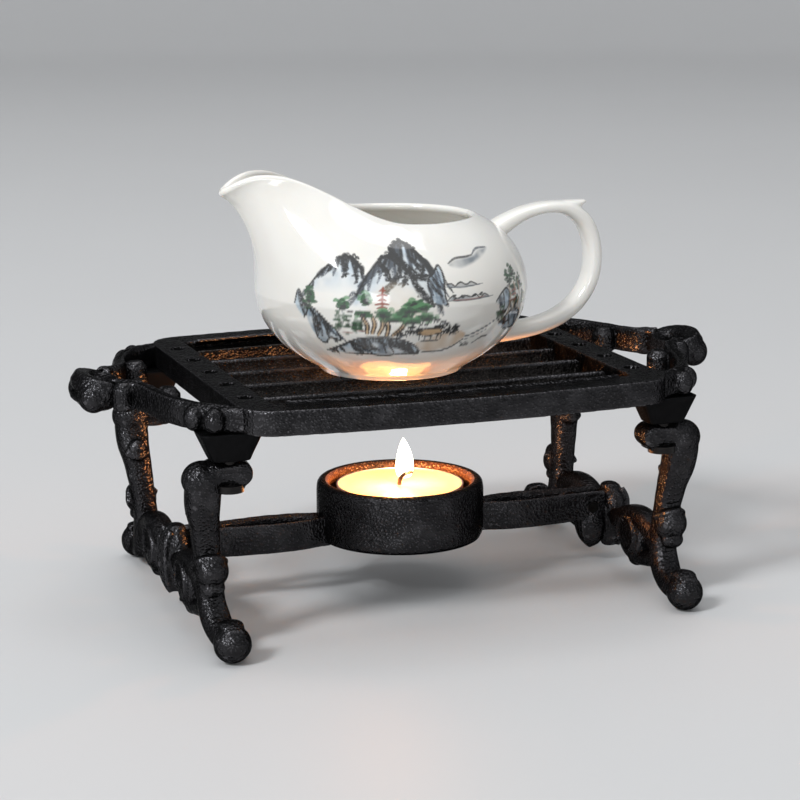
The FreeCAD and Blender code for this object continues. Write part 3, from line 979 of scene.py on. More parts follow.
    def bar(self, box: Extent) -> tuple[Array, list[Face]]:
        """Draw one tapered bar with a narrow rounded top edge."""
        y, low, high = box.centre.y, box.low.z, box.high.z
        side = [(self.bar_base, low), (self.bar_base, low + 0.3), (self.bar_top + 0.15, high - 0.8),
                (self.bar_top, high - 0.35), (self.bar_top - 0.35, high - 0.02)]
        section = [(y + across, z) for across, z in side] + [(y - across, z) for across, z in reversed(side)]
        along = np.linspace(box.low.x - 0.4, box.high.x + 0.4, 120)
        points = np.array([(x, across, z) for x in along for across, z in section])
        points[:, 2] += (points[:, 2] > high - 1.0) * 0.10 * ripple(points, 3.0, y)
        count = len(section)
        faces = grid_faces(len(along), count, True)
        faces += [tuple(reversed(range(count))), tuple(range((len(along) - 1) * count, len(along) * count))]
        return points, faces


# ---------------------------------------------------------------- handles


@dataclass
class Handles:
    """Scrolled handle at each end: two arms that meet in an oval shell."""

    bead: float = 3.0
    half_band: float = 2.1
    eye_x: float = 4.7
    eye_y: float = 8.3
    arm: Extent = box_of("handle_arm_front_right")
    shell: Extent = box_of("handle_shell_right")

    def arm_clay(self) -> Clay:
        """Shape the right front arm."""
        clay = Clay()
        low, high = self.arm.low.z, self.arm.high.z
        middle, half = (low + high) / 2, (high - low) / 2
        path = [(60.0, -49.0, middle, half, 2.4), (66.5, -45.8, middle, half, 2.3),
                (72.0, -40.4, middle, half, self.half_band),
                (75.8, -33.8, middle + 0.1, half, self.half_band),
                (78.6, -26.0, middle + 0.3, half, self.half_band), (80.4, -18.0, middle + 0.6, half + 0.1, 2.0),
                (83.2, -11.4, middle + 0.9, half + 0.3, 1.9), (87.4, -9.2, middle + 1.1, half + 0.4, 1.8)]
        clay.tube(path, Z_AXIS, power=4.5)
        for shift in (-1.45, 1.45):
            lip = [(x + shift * 0.9, y + shift * 0.4, z + h - 0.1) for x, y, z, h, w in path[1:]]
            clay.cord(lip, 0.62)
        for x, y in ((69.6, -47.4), (73.6, -41.6)):
            clay.ball((x, y, middle), (self.bead, self.bead, half + 0.1))
        roll = [(3.1, -half), (3.5, -half + 0.9), (3.5, half - 1.2), (2.6, half - 0.1), (1.2, half + 0.5)]
        clay.lathe((75.2, -19.6, middle + 0.2), Z_AXIS, roll)
        clay.tube([(75.2, -19.6, middle, half - 0.6, 1.7), (77.4, -20.6, middle, half - 0.5, 1.6),
                   (80.0, -20.2, middle, half - 0.4, 1.4)], Z_AXIS, power=4)
        clay.cord([(75.2 + 1.9 * math.cos(a), -19.6 + 1.9 * math.sin(a), high + 0.5 - 0.05 * a)
                   for a in np.linspace(0, 5.5, 9)], 0.5)
        curl = [(2.4, -half - 0.2), (3.1, -half + 0.8), (3.2, half - 1.4), (2.4, half + 0.2),
                (1.1, half + 0.9)]
        clay.lathe((86.0, -11.6, middle + 0.4), Z_AXIS, curl)
        clay.cord([(86.0 + (2.2 - 0.24 * a) * math.cos(a + 2.2), -11.6 + (2.2 - 0.24 * a) * math.sin(a + 2.2),
                    high + 0.9 + 0.05 * a) for a in np.linspace(0, 6.6, 12)], 0.45)
        return clay

    def shell_clay(self) -> Clay:
        """Shape the right shell: a full oval with a raised border round a hollow eye."""
        clay = Clay()
        x, z = self.shell.centre.x - 0.4, self.shell.centre.z + 1.6
        ring = [(x + self.eye_x * math.cos(a), self.eye_y * math.sin(a), z + 1.6 * math.cos(a))
                for a in np.linspace(0, 2 * math.pi, 20, endpoint=False)]
        clay.cord(ring, 3.2, closed=True)
        clay.ball((x + 0.6, 0.0, z - 2.6), (6.2, 10.6, 3.9))
        border = [(x + 1.24 * self.eye_x * math.cos(a), 1.13 * self.eye_y * math.sin(a),
                   z + 2.7 + 1.5 * math.cos(a))
                  for a in np.linspace(0, 2 * math.pi, 20, endpoint=False)]
        clay.cord(border, 0.75, closed=True)
        inner = [(x + 0.52 * self.eye_x * math.cos(a), 0.70 * self.eye_y * math.sin(a),
                  z + 1.9 + 1.2 * math.cos(a))
                 for a in np.linspace(0, 2 * math.pi, 20, endpoint=False)]
        clay.cord(inner, 0.6, closed=True)
        for side in (-1, 1):
            clay.ball((x + 3.0, side * 6.6, z - 1.4), (4.4, 4.6, 4.6))
            clay.cord([(x - 3.6, side * 6.6, z + 2.6), (x - 5.4, side * 9.6, z + 2.4),
                       (x - 4.8, side * 12.0, z + 1.2), (x - 2.6, side * 12.4, z - 0.4)], 1.1)
            clay.cord([(x + 1.0, side * 10.8, z - 1.8), (x + 5.4, side * 7.6, z - 2.2),
                       (x + 7.0, side * 3.0, z - 2.4), (x + 7.1, 0.0, z - 2.5)], 0.8)
        return clay

    def build(self, iron: Material) -> None:
        """Make both handles."""
        master = self.arm_clay().cast("arm_master", lumps=0.06)
        place_copies(Corner, Master(master, "handle_band_", "handle_arm_", iron))
        shell = self.shell_clay().cast("shell_master", lumps=0.06)
        place_copies(Side, Master(shell, "shell_", "handle_shell_", iron))


# ---------------------------------------------------------------- legs and blocks


@dataclass
class Legs:
    """Plain tapered blocks and the scrolled legs under them."""

    foot: float = 5.3
    knuckle: float = 4.8
    leg: Extent = box_of("leg_front_right")
    block: Extent = box_of("corner_block_front_right")

    def leg_clay(self) -> Clay:
        """Shape the right front leg."""
        clay = Clay()
        top = self.leg.high.z
        outer = self.leg.high.x
        foot_x, foot_y = outer - 10.0, self.leg.low.y + self.foot
        shaft = [(outer - 6.4, -42.4, top - 5.6, 4.6, 4.4), (outer - 6.0, -42.2, top - 9.0, 4.9, 4.6),
                 (outer - 6.1, -40.9, top - 14.0, 4.7, 4.5), (outer - 6.9, -39.6, top - 19.0, 4.1, 4.1),
                 (outer - 7.6, -38.4, top - 25.0, 3.7, 3.8), (outer - 8.2, -37.6, top - 31.0, 3.5, 3.7),
                 (outer - 8.6, -37.4, top - 36.0, 3.6, 3.8), (outer - 8.8, -37.9, top - 41.0, 3.8, 3.9),
                 (outer - 9.1, -40.2, top - 45.0, 4.0, 3.9), (outer - 9.6, -44.6, top - 48.0, 3.8, 3.6),
                 (outer - 9.9, -50.0, top - 49.0, 3.5, 3.3),
                 (foot_x, foot_y + 1.0, self.foot - 0.4, 3.4, 3.2)]
        clay.tube(shaft, X_AXIS, power=2.9)
        clay.ball((foot_x, foot_y, self.foot), (self.foot, self.foot, self.foot))
        clay.tube([(foot_x, foot_y + 3.4, self.foot + 4.6, 3.6, 1.5),
                   (foot_x, foot_y + 0.2, self.foot + 5.0, 3.4, 1.3),
                   (foot_x, foot_y - 3.4, self.foot + 3.6, 2.6, 1.1)], X_AXIS)
        clay.ball((outer - 5.9, -42.2, top - 5.6), (5.8, 5.3, 5.3))
        clay.ball((outer - 8.2, -41.4, 22.4), (self.knuckle, self.knuckle, self.knuckle + 0.2))
        clay.ball((outer - 8.2, -42.8, 17.6), (3.4, 2.4, 2.6))
        clay.tube([(outer - 12.5, -39.8, 24.0, 1.1, 1.1), (outer - 9.5, -43.8, 26.2, 1.2, 1.2),
                   (outer - 5.0, -42.0, 25.6, 1.1, 1.1), (outer - 3.6, -37.8, 22.0, 1.0, 1.0)], Z_AXIS)
        clay.ball((outer - 6.2, -35.6, 40.0), (2.6, 2.2, 2.4))
        clay.tube([(outer - 9.5, -36.8, 38.0, 1.3, 1.3), (outer - 6.2, -35.0, 37.4, 1.5, 1.5),
                   (outer - 3.0, -36.8, 38.2, 1.3, 1.3)], Z_AXIS)
        self.tongue(clay, outer, top)
        return clay

    def tongue(self, clay: Clay, outer: float, top: float) -> None:
        """Shape the scroll that reaches in from the leg's shoulder under the block."""
        inner = self.leg.low.x
        y = -42.2
        clay.tube([(inner + 2.4, y, top - 4.2, 4.2, 3.4), (inner + 5.5, y, top - 4.0, 4.4, 3.8),
                   (inner + 9.5, y, top - 3.9, 4.4, 3.7), (outer - 9.0, y, top - 4.0, 4.6, 3.8),
                  (outer - 6.2, y, top - 6.4, 4.6, 4.0)], Y_AXIS, power=2.8)
        clay.lathe((inner + 3.6, y, top - 4.2), Y_AXIS,
                   [(2.6, -4.4), (3.5, -3.7), (3.8, 0.0), (3.5, 3.7), (2.6, 4.4)])
        clay.slab((inner + 2.6, y - 3.6, top - 8.6), (inner + 9.6, y + 3.6, top - 6.6))
        clay.cord([(inner + 4.0, y - 4.0, top - 1.9), (inner + 9.0, y - 4.1, top - 2.3),
                   (outer - 9.0, y - 4.2, top - 3.2)], 0.6)

    def block_piece(self) -> Piece:
        """Shape the right front block, crisp but for its broken edges."""
        clay = Clay()
        low, high = self.block.low, self.block.high
        centre, half_x, half_y = self.block.centre, self.block.size.x / 2, self.block.size.y / 2
        clay.tube([(centre.x, centre.y, low.z + share * (high.z - low.z), half_x * (0.56 + 0.38 * share),
                    half_y * (0.66 + 0.31 * share)) for share in (0.0, 0.25, 0.5, 0.75, 1.0)], X_AXIS,
                  power=6.0, sides=40)
        return clay.cast("block_master", voxel=0.35, rounds=2, lumps=0.05)

    def build(self, iron: Material, plain: Material) -> None:
        """Make the four legs and the four blocks."""
        leg = self.leg_clay().cast("leg_master", rounds=4, lumps=0.09)
        block = self.block_piece()
        place_copies(Corner, Master(leg, "leg_cast_", "leg_", iron),
                     Master(block, "block_", "corner_block_", plain, Slot.BLOCK_IRON))


# ---------------------------------------------------------------- stretchers


@dataclass
class Stretchers:
    """Side rails of two scrolls, a ribbed boss, a pendant and an inner shield."""

    box: Extent = box_of("stretcher_right")

    def clay(self) -> Clay:
        """Shape the right rail."""
        clay = Clay()
        face = self.box.high.x
        x = face - 3.6
        for side in (-1, 1):
            clay.lathe((x, side * 19.3, 13.8), X_AXIS,
                       [(5.6, -3.5), (7.4, -2.9), (8.0, -1.4), (8.0, 1.4), (7.4, 2.9), (5.6, 3.6)])
            band = [(x, side * 38.5, 12.0, 3.0, 4.0), (x, side * 34.0, 15.0, 3.2, 3.8),
                    (x, side * 28.5, 18.4, 3.4, 3.2), (x, side * 22.5, 19.8, 3.6, 2.6),
                    (x, side * 16.5, 19.4, 3.5, 2.4), (x, side * 11.0, 17.2, 3.3, 2.6),
                    (x, side * 6.0, 14.5, 3.0, 3.0)]
            clay.tube(band, X_AXIS, power=2.6)
            low_band = [(x, side * 37.0, 10.5, 2.8, 2.6), (x, side * 31.0, 8.8, 2.9, 2.6),
                        (x, side * 25.0, 7.4, 2.9, 2.4), (x, side * 19.0, 6.6, 2.7, 2.2)]
            clay.tube(low_band, X_AXIS, power=2.4)
            clay.ball((x, side * 20.0, 6.0), (2.6, 2.9, 2.4))
            rim = [(face + 0.1, side * 19.0 + 5.6 * math.cos(a), 13.6 + 5.4 * math.sin(a))
                   for a in np.linspace(-0.6, 4.6, 12)]
            clay.cord(rim, 0.75)
            clay.ball((face - 0.4, side * 17.6, 12.6), (1.3, 2.6, 1.5))
            inner_rim = [(x - 3.6, side * 19.0 + 5.4 * math.cos(a), 13.6 + 5.2 * math.sin(a))
                         for a in np.linspace(-0.6, 4.6, 12)]
            clay.cord(inner_rim, 0.7)
        clay.ball((x, 0.0, 18.6), (4.2, 6.6, 5.8))
        clay.tube([(x, 0.0, 22.0, 3.9, 5.0), (x, 0.0, 17.0, 4.1, 6.4), (x, 0.0, 12.0, 4.0, 5.4),
                   (x, 0.0, 8.0, 3.4, 3.8), (x, 0.0, 5.0, 2.4, 2.4)], X_AXIS, power=2.2)
        for y in (-3.6, 0.0, 3.6):
            clay.cord([(x + 2.2, y, 23.6), (face + 0.2, y * 1.1, 20.0), (face + 0.3, y, 14.0),
                       (face - 0.2, y * 0.7, 8.6), (face - 1.6, y * 0.3, 5.0)], 0.95)
        clay.ball((x - 0.2, 0.0, 23.6), (3.0, 3.4, 1.6))
        self.shield(clay, x)
        return clay

    def shield(self, clay: Clay, x: float) -> None:
        """Shape the ribbed shield that the candle arm meets."""
        inner = self.box.low.x + 3.0
        clay.tube([(inner + 2.2, 0.0, 21.4, 3.6, 2.8), (inner + 2.0, 0.0, 17.5, 4.0, 4.6),
                   (inner + 1.8, 0.0, 12.0, 3.9, 5.0), (inner + 2.2, 0.0, 8.0, 3.2, 3.6),
                   (inner + 3.2, 0.0, 5.6, 2.0, 1.8)], X_AXIS, power=2.4)
        clay.tube([(inner + 1.0, 0.0, 15.5, 4.0, 4.2), (x, 0.0, 15.5, 4.2, 4.2)], Y_AXIS, power=3)
        for y in (-2.4, 0.0, 2.4):
            clay.cord([(inner - 1.6, y, 16.5), (inner - 1.7, y * 1.1, 12.0), (inner - 0.7, y * 0.8, 8.0),
                       (inner + 1.6, y * 0.3, 5.0)], 0.75)

    def build(self, iron: Material) -> None:
        """Make both rails."""
        master = self.clay().cast("stretcher_master")
        place_copies(Side, Master(master, "side_rail_", "stretcher_", iron))


# ---------------------------------------------------------------- candle holder


@dataclass
class CandleHolder:
    """Round cup on two leaf-shaped arms."""

    strip: float = 1.15
    bulge: float = 4.6
    cup: Extent = box_of("candle_cup")
    arm: Extent = box_of("candle_arm_right")
    wall: float = 3.9
    floor: float = 2.0
    lit_edge: float = 1.2

    def cup_profile(self) -> list[tuple[float, float]]:
        """Half section of the cup as radius and height, from the underside round to the floor."""
        outer, low, high = self.cup.high.x, self.cup.low.z, self.cup.high.z
        inner = outer - self.wall
        return [(0.0, low), (outer - 3.0, low), (outer - 1.4, low + 0.2), (outer - 0.5, low + 0.8),
                (outer - 0.1, low + 2.0), (outer, low + 4.0), (outer, high - 4.0), (outer - 0.1, high - 2.0),
                (outer - 0.3, high - 0.9), (outer - 0.9, high - 0.2), (outer - 1.9, high),
                (outer - 2.9, high - 0.2), (inner + 0.3, high - 0.9), (inner, high - 2.2),
                (inner, high - 8.0), (inner - 0.1, low + self.floor + 1.5),
                (inner - 1.2, low + self.floor + 0.1), (inner - 2.5, low + self.floor), (0.0, low + self.floor)]

    def arm_clay(self) -> Clay:
        """Shape the right arm."""
        clay = Clay()
        low, high = self.arm.low.z, self.arm.high.z
        z, half = (low + high) / 2, (high - low) / 2
        start, end = self.arm.low.x, self.arm.high.x
        near = end - 8.6
        for side in (-1, 1):
            path = [(start, side * 2.2, z, half, self.strip), (start + 3.5, side * 2.6, z, half, self.strip),
                    (start + 9.0, side * (self.bulge - 0.6), z, half, self.strip),
                    ((start + near) / 2, side * self.bulge, z, half, self.strip),
                    (near - 7.0, side * (self.bulge - 0.8), z, half, self.strip),
                    (near - 1.0, side * 3.1, z, half, self.strip), (end, side * 3.2, z, half, self.strip)]
            clay.tube(path, Z_AXIS, power=4.5)
            clay.cord([(x, y + side * 0.4, high + 0.05) for x, y, _, _, _ in path], 0.62)
        clay.tube([(start - 1.0, 0.0, z, half, 3.4), (start + 2.0, 0.0, z, half - 0.2, 2.6),
                   (start + 4.4, 0.0, z, half - 0.6, 1.6)], Z_AXIS, power=3)
        clay.tube([(near - 3.6, 0.0, z, half - 0.6, 1.6), (near - 1.2, 0.0, z, half - 0.3, 2.8),
                   (near + 0.4, 0.0, z, half - 0.1, 3.2)], Z_AXIS, power=3)
        return clay

    def build(self, iron: Material, lit: Material) -> None:
        """Make the cup and its arms; the inside of the cup has the finish called lit."""
        points, faces = turned(self.cup_profile(), 220, 4)
        normals = unit(points * np.array([1, 1, 0]))
        points = points + normals * (0.06 * ripple(points, 3.0, 3.0))[:, None]
        cup = settle(make_object("cup", points, faces), Body.STAND, Slot.CAST_IRON, iron, "candle_cup")
        # Painted candle light: faces inside the cup take the warm finish called lit.
        reach = self.cup.high.x - self.wall + self.lit_edge
        dress(cup, (lit, lambda spot: spot.xy.length < reach and spot.z > self.cup.low.z + self.floor))
        master = self.arm_clay().cast("candle_arm_master")
        place_copies(Side, Master(master, "leaf_arm_", "candle_arm_", iron))


def turned(profile: Sequence[tuple[float, float]], sides: int, steps: int) -> tuple[Array, list[Face]]:
    """Turn a smooth profile round the vertical axis.

    Args:
        profile: Pairs of radius and height; a radius of 0 closes an end.
        sides: Points round the axis.
        steps: Rings between two pairs.

    Returns:
        Points and faces.
    """
    rows = smooth_rows(profile, steps)
    rows[:, 0] = np.maximum(rows[:, 0], 0.0)
    closed = [rows[0][0] == 0.0, rows[-1][0] == 0.0]
    rings = rows[1 if closed[0] else 0:len(rows) - 1 if closed[1] else len(rows)]
    turn = np.linspace(0, 2 * math.pi, sides, endpoint=False)
    grid = np.stack([np.outer(rings[:, 0], np.cos(turn)), np.outer(rings[:, 0], np.sin(turn)),
                     np.outer(rings[:, 1], np.ones(sides))], axis=-1).reshape(-1, 3)
    faces = grid_faces(len(rings), sides, True)
    ends = []
    for place, is_closed, offset in ((0, closed[0], 0), (-1, closed[1], (len(rings) - 1) * sides)):
        if is_closed:
            tip = len(grid) + len(ends)
            ends.append((0.0, 0.0, rows[place][1]))
            for c in range(sides):
                pair = (offset + c, offset + (c + 1) % sides)
                faces.append((tip, pair[1], pair[0]) if place == 0 else (tip, pair[0], pair[1]))
    points = np.vstack([grid, np.array(ends)]) if ends else grid
    return points, faces


# ---------------------------------------------------------------- tealight


@dataclass
class Tealight:
    """Metal cup, glowing wax, curved wick and flame."""

    foil: float = 0.45
    sink: float = 1.2
    flame_height: float = 12.4
    flame_radius: float = 2.75
    wick_radius: float = 0.62
    lean: float = 1.9
    behind: float = 1.5
    cup: Extent = box_of("tealight_cup")
    wax: Extent = box_of("tealight_wax")
    wick: Extent = box_of("wick")

    def build_cup(self, metal: Material) -> None:
        """Make the drawn cup with its rolled edge."""
        outer, low, high = self.cup.high.x, self.cup.low.z, self.cup.high.z - self.sink
        profile = [(0.0, low), (outer - 2.0, low), (outer - 0.9, low + 0.15), (outer - 0.25, low + 0.8),
                   (outer - 0.1, low + 2.0), (outer - 0.1, high - 1.0), (outer, high - 0.45),
                   (outer - 0.15, high - 0.1), (outer - 0.35, high), (outer - self.foil - 0.1, high - 0.25),
                   (outer - self.foil - 0.1, high - 2.0), (outer - self.foil - 0.1, low + 1.5),
                   (outer - 1.5, low + 0.5), (0.0, low + 0.5)]
        points, faces = turned(profile, 160, 4)
        settle(make_object("tealight_foil", points, faces), Body.TEALIGHT, Slot.FOIL, metal, "tealight_cup")

    @property
    def wax_top(self) -> float:
        """Height of the melted surface."""
        return self.wax.high.z - self.sink

    def build_wax(self, wax: Material) -> None:
        """Make the wax with a melted pool and a raised edge where it meets the cup."""
        outer, low, high = self.wax.high.x, self.wax.low.z, self.wax_top
        profile = [(0.0, low), (outer - 1.0, low + 0.1), (outer - 0.2, low + 1.0), (outer - 0.15, high - 0.6),
                   (outer - 0.2, high + 0.15), (outer - 0.9, high + 0.05), (outer - 2.4, high - 0.25),
                   (outer * 0.62, high - 0.35), (outer * 0.42, high - 0.45), (4.0, high - 0.35),
                   (1.4, high - 0.15), (0.7, high + 0.1), (0.0, high + 0.15)]
        points, faces = turned(profile, 160, 5)
        surface = (points[:, 2] > high - 1.0)
        points[:, 2] += surface * 0.12 * ripple(points, 4.5, 7.0)
        settle(make_object("wax", points, faces), Body.TEALIGHT, Slot.WAX, wax, "tealight_wax")

    def wick_line(self) -> Array:
        """Centre line of the wick, straight in the wax and bent over above it."""
        low, top = self.wick.low.z, self.wax_top
        return np.array([(0.0, 0.0, low), (0.0, 0.0, low + 6.0), (-0.1, 0.0, top - 0.5),
                         (-0.25, -0.4, top + 1.2), (0.15, -1.0, top + 2.6), (1.1, -1.6, top + 3.6),
                         (2.3, -1.9, top + 4.0), (3.3, -2.0, top + 4.0)])

    def build_wick(self, cotton: Material) -> None:
        """Make the wick and its flame."""
        clay = Clay()
        line = self.wick_line()
        radii = [1.0, 1.0, 1.05, 1.05, 1.0, 0.95, 0.9, 0.7]
        clay.tube([(*point, self.wick_radius * k, self.wick_radius * k) for point, k in zip(line, radii)],
                  Y_AXIS, sides=12, steps=5)
        for turn_start in (0.0, math.pi):
            strand = []
            for row in smooth_rows(line[2:], 5):
                angle = turn_start + row[2] * 2.4 + row[0] * 2.0
                strand.append((row[0] + 0.42 * math.cos(angle), row[1] + 0.42 * math.sin(angle), row[2]))
            clay.cord(strand, 0.22)
        settle(clay.cast("wick_braid", voxel=0.16, rounds=1, lumps=0.03), Body.TEALIGHT, Slot.WICK, cotton,
               "wick")

    def flame_span(self) -> tuple[float, float]:
        """Lowest and highest point of the flame."""
        low = self.wax_top + 1.6
        return low, low + self.flame_height

    def build_flame(self, glow: Material) -> None:
        """Make the drop-shaped flame round the wick's bend."""
        low, high = self.flame_span()
        rise = high - low
        shape = [(0.0, 0.0), (0.50, 0.01), (0.78, 0.05), (0.94, 0.14), (1.0, 0.26), (0.97, 0.38),
                 (0.88, 0.52), (0.72, 0.66), (0.50, 0.80), (0.24, 0.92), (0.0, 1.0)]
        points, faces = turned([(r * self.flame_radius, low + h * rise) for r, h in shape], 64, 5)
        level = (points[:, 2] - low) / rise
        points[:, 0] += self.lean - 0.3 * level + 0.3 * np.sin(level * 3.0)
        points[:, 1] += self.behind
        flame = make_object("flame", points, faces)
        flame.visible_shadow = False
        settle(flame, Body.TEALIGHT, Slot.WAX, glow)

    def build(self, metal: Material, wax: Material, cotton: Material,
              glow: Material) -> None:
        """Make the whole tealight."""
        self.build_cup(metal)
        self.build_wax(wax)
        self.build_wick(cotton)
        self.build_flame(glow)


# ---------------------------------------------------------------- pitcher


@dataclass
class Pitcher:
    """Round porcelain bowl with a pulled spout and a strap handle."""

    wall: float = 2.3
    belly_height: float = 24.1
    lip_radius: float = 25.3
    body: Extent = box_of("pitcher_body")
    centre_x: float = -2.6
    rings: int = 130
    roll_steps: int = 5
    floor_rise: float = 1.0
    outer_count: int = 0

    @property
    def base(self) -> float:
        """Height of the foot."""
        return self.body.low.z

    def lip(self, share: Array) -> Array:
        """Lip line from the handle side (share 0) to the spout's tip (share 1), on one side.

        Args:
            share: Places along half of the lip.

        Returns:
            Points relative to the pitcher's axis and foot.
        """
        rim = 45.4
        r = self.lip_radius
        rows = [(r * math.cos(a), r * math.sin(a), rim) for a in np.radians([0, 20, 40, 60, 80])]
        rows += [(-4.6, 24.2, rim + 0.4), (-10.5, 21.6, rim + 1.9), (-16.5, 18.3, rim + 4.6),
                 (-23.0, 14.9, rim + 8.0), (-30.0, 11.6, rim + 11.0), (-36.0, 9.0, rim + 12.6),
                 (-41.5, 6.6, rim + 12.5), (-46.0, 4.6, rim + 10.9), (-49.6, 2.5, rim + 8.7),
                 (-51.0, 0.0, rim + 7.5)]
        line = smooth_rows(rows, 10)
        along = np.concatenate([[0.0], np.cumsum(np.linalg.norm(np.diff(line, axis=0), axis=1))])
        along /= along[-1]
        return np.stack([np.interp(share, along, line[:, k]) for k in range(3)], axis=-1)

    def outside(self, turns: Array, rows: int) -> Array:
        """Grid of the outer surface.

        Args:
            turns: Angles from the handle side, from -pi to pi.
            rows: Number of rings from the foot to the lip.

        Returns:
            Points of shape (rings, turns, 3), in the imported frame.
        """
        foot = smooth_rows([(17.6, 1.0), (18.6, 0.25), (19.6, 0.0), (20.6, 0.1), (21.3, 0.7), (22.6, 1.9),
                            (25.4, 3.6), (29.0, 5.9), (33.0, 9.2), (36.6, 13.6), (39.0, 18.4),
                            (40.1, self.belly_height)], 9)
        ring_low = foot[:, None, :]
        lower = np.stack([ring_low[..., 0] * np.cos(turns), ring_low[..., 0] * np.sin(turns),
                          np.broadcast_to(ring_low[..., 1], (len(foot), len(turns)))], axis=-1)
        share = np.abs(turns) / math.pi
        lips = self.lip(share)
        lips[:, 1] *= np.sign(turns) + (turns == 0)
        belly = lower[-1]
        spout = ease(0.42, 0.95, share)
        tip = ease(0.80, 1.0, share)
        radial = np.stack([np.cos(turns), np.sin(turns), np.zeros(len(turns))], axis=-1)
        up = np.array([0.0, 0.0, 1.0])
        start = up * (26.0 + 10.0 * spout[:, None]) - radial * (1.5 * tip[:, None])
        leave = (-radial * (30.0 * (1 - spout[:, None]))
                 + up * (14.0 + 12.0 * spout[:, None] - 16.0 * tip[:, None])
                 + radial * (20.0 * tip[:, None]))
        t = np.linspace(0, 1, rows)[1:, None, None]
        upper = ((2 * t ** 3 - 3 * t ** 2 + 1) * belly + (t ** 3 - 2 * t ** 2 + t) * start
                 + (-2 * t ** 3 + 3 * t ** 2) * lips + (t ** 3 - t ** 2) * leave)
        grid = np.concatenate([lower, upper], axis=0)
        return grid + np.array([self.centre_x, 0.0, self.base])

    def turns(self) -> Array:
        """Angles round the bowl, close together where the painting is and round the spout."""
        front = np.radians(np.arange(-165.0, -8.0, 0.45))
        rest = np.radians(np.concatenate([np.arange(-8.0, 165.0, 1.5), np.arange(165.0, 195.0, 0.75)]))
        angles = np.concatenate([front, rest])
        return np.where(angles > math.pi, angles - 2 * math.pi, angles)

    def build_body(self) -> Piece:
        """Make the bowl, hollow, with a soft lip."""
        turns = self.turns()
        outer = self.outside(turns, self.rings)
        rings, columns = outer.shape[:2]
        du = np.roll(outer, -1, axis=1) - np.roll(outer, 1, axis=1)
        dv = np.gradient(outer, axis=0)
        normal = unit(np.cross(du, dv))
        inner = outer - normal * self.wall
        floor_height = self.base + self.floor_rise + self.wall
        inner[:, :, 2] = np.maximum(inner[:, :, 2], floor_height)
        lip_rings = []
        edge, middle = unit(dv[-1]), (outer[-1] + inner[-1]) / 2
        for step in range(1, self.roll_steps):
            a = math.pi * step / self.roll_steps
            lip_rings.append(middle + (outer[-1] - inner[-1]) / 2 * math.cos(a)
                             + edge * (self.wall / 2 * math.sin(a)))
        inside = inner[::-3][:-9]
        self.outer_count = rings * columns
        rows = np.concatenate([outer, np.array(lip_rings), inside], axis=0)
        points = rows.reshape(-1, 3)
        faces = grid_faces(len(rows), columns, True)
        under = len(points)
        floor = under + 1
        points = np.vstack([points, [(self.centre_x, 0.0, self.base + 1.2)],
                            [(self.centre_x, 0.0, floor_height)]])
        last = (len(rows) - 1) * columns
        for c in range(columns):
            following = (c + 1) % columns
            faces.append((under, following, c))
            faces.append((floor, last + c, last + following))
        bowl = make_object("bowl", points, faces)
        bowl.data.flip_normals()
        return bowl

    def build_handle(self) -> Piece:
        """Make the strap handle with its pointed thumb rest."""
        base = self.base
        clay = Clay()
        loop = [(24.5, 35.5, 5.0, 3.2), (29.5, 38.6, 4.7, 3.0), (34.5, 41.6, 4.2, 2.5), (40.0, 44.0, 4.0, 2.0),
                (46.5, 45.2, 4.0, 1.8), (53.0, 44.6, 4.0, 2.1), (58.2, 41.2, 3.9, 2.4), (61.0, 36.0, 3.9, 2.45),
                (62.0, 29.5, 4.0, 2.45), (60.9, 22.6, 4.0, 2.4), (57.0, 16.4, 4.0, 2.4), (51.0, 12.0, 4.1, 2.5),
                (44.0, 9.6, 4.2, 2.6), (37.0, 8.6, 4.5, 2.8), (30.0, 8.4, 4.9, 3.2)]
        thumb = [(47.0, 45.2, 3.6, 1.7), (52.5, 45.5, 3.4, 1.6), (56.6, 45.9, 2.7, 1.2),
                 (59.2, 46.5, 1.7, 0.55)]
        for rows, power, sides, steps in ((loop, 2.6, 32, 8), (thumb, 2.4, 28, 6)):
            clay.tube([(x, 0.0, base + z, a, b) for x, z, a, b in rows], Y_AXIS, power, sides, steps)
        return clay.cast("strap", carve=self.seat, lumps=0.0)

    def seat(self, points: Array) -> Array:
        """Pull the strap's roots out of the bowl's hollow into its wall."""
        side = self.outside(np.array([0.0]), 60)[:, 0, :]
        side = side[int(np.argmin(side[:, 2])):]
        limit = np.interp(points[:, 2], side[:, 2], side[:, 0] - self.centre_x) - 0.6 * self.wall
        reach = np.hypot(points[:, 0] - self.centre_x, points[:, 1])
        scale = np.where(points[:, 2] < side[-1, 2], np.maximum(limit / np.maximum(reach, 1.0), 1.0), 1.0)
        points[:, 0] = self.centre_x + (points[:, 0] - self.centre_x) * scale
        points[:, 1] *= scale
        return points

    def build(self, painted: Material, glaze: Material) -> None:
        """Make the pitcher."""
        bowl = self.build_body()
        Painting(self).lay(bowl)
        settle(bowl, Body.PITCHER, Slot.PORCELAIN, painted, "pitcher_body")
        settle(self.build_handle(), Body.PITCHER, Slot.PORCELAIN, glaze, "pitcher_handle")


class Ink(Enum):
    """Colours of the painting, as shares of the glaze's own white."""

    BLACK = (0.008, 0.010, 0.014)
    SLATE = (0.070, 0.090, 0.125)
    GREY = (0.22, 0.26, 0.31)
    BLUE = (0.46, 0.62, 0.80)
    GREEN = (0.012, 0.095, 0.030)
    LEAF = (0.07, 0.28, 0.10)
    TAN = (0.66, 0.46, 0.28)
    PEACH = (0.95, 0.80, 0.62)
    RUST = (0.32, 0.070, 0.040)
    BARK = (0.42, 0.27, 0.16)


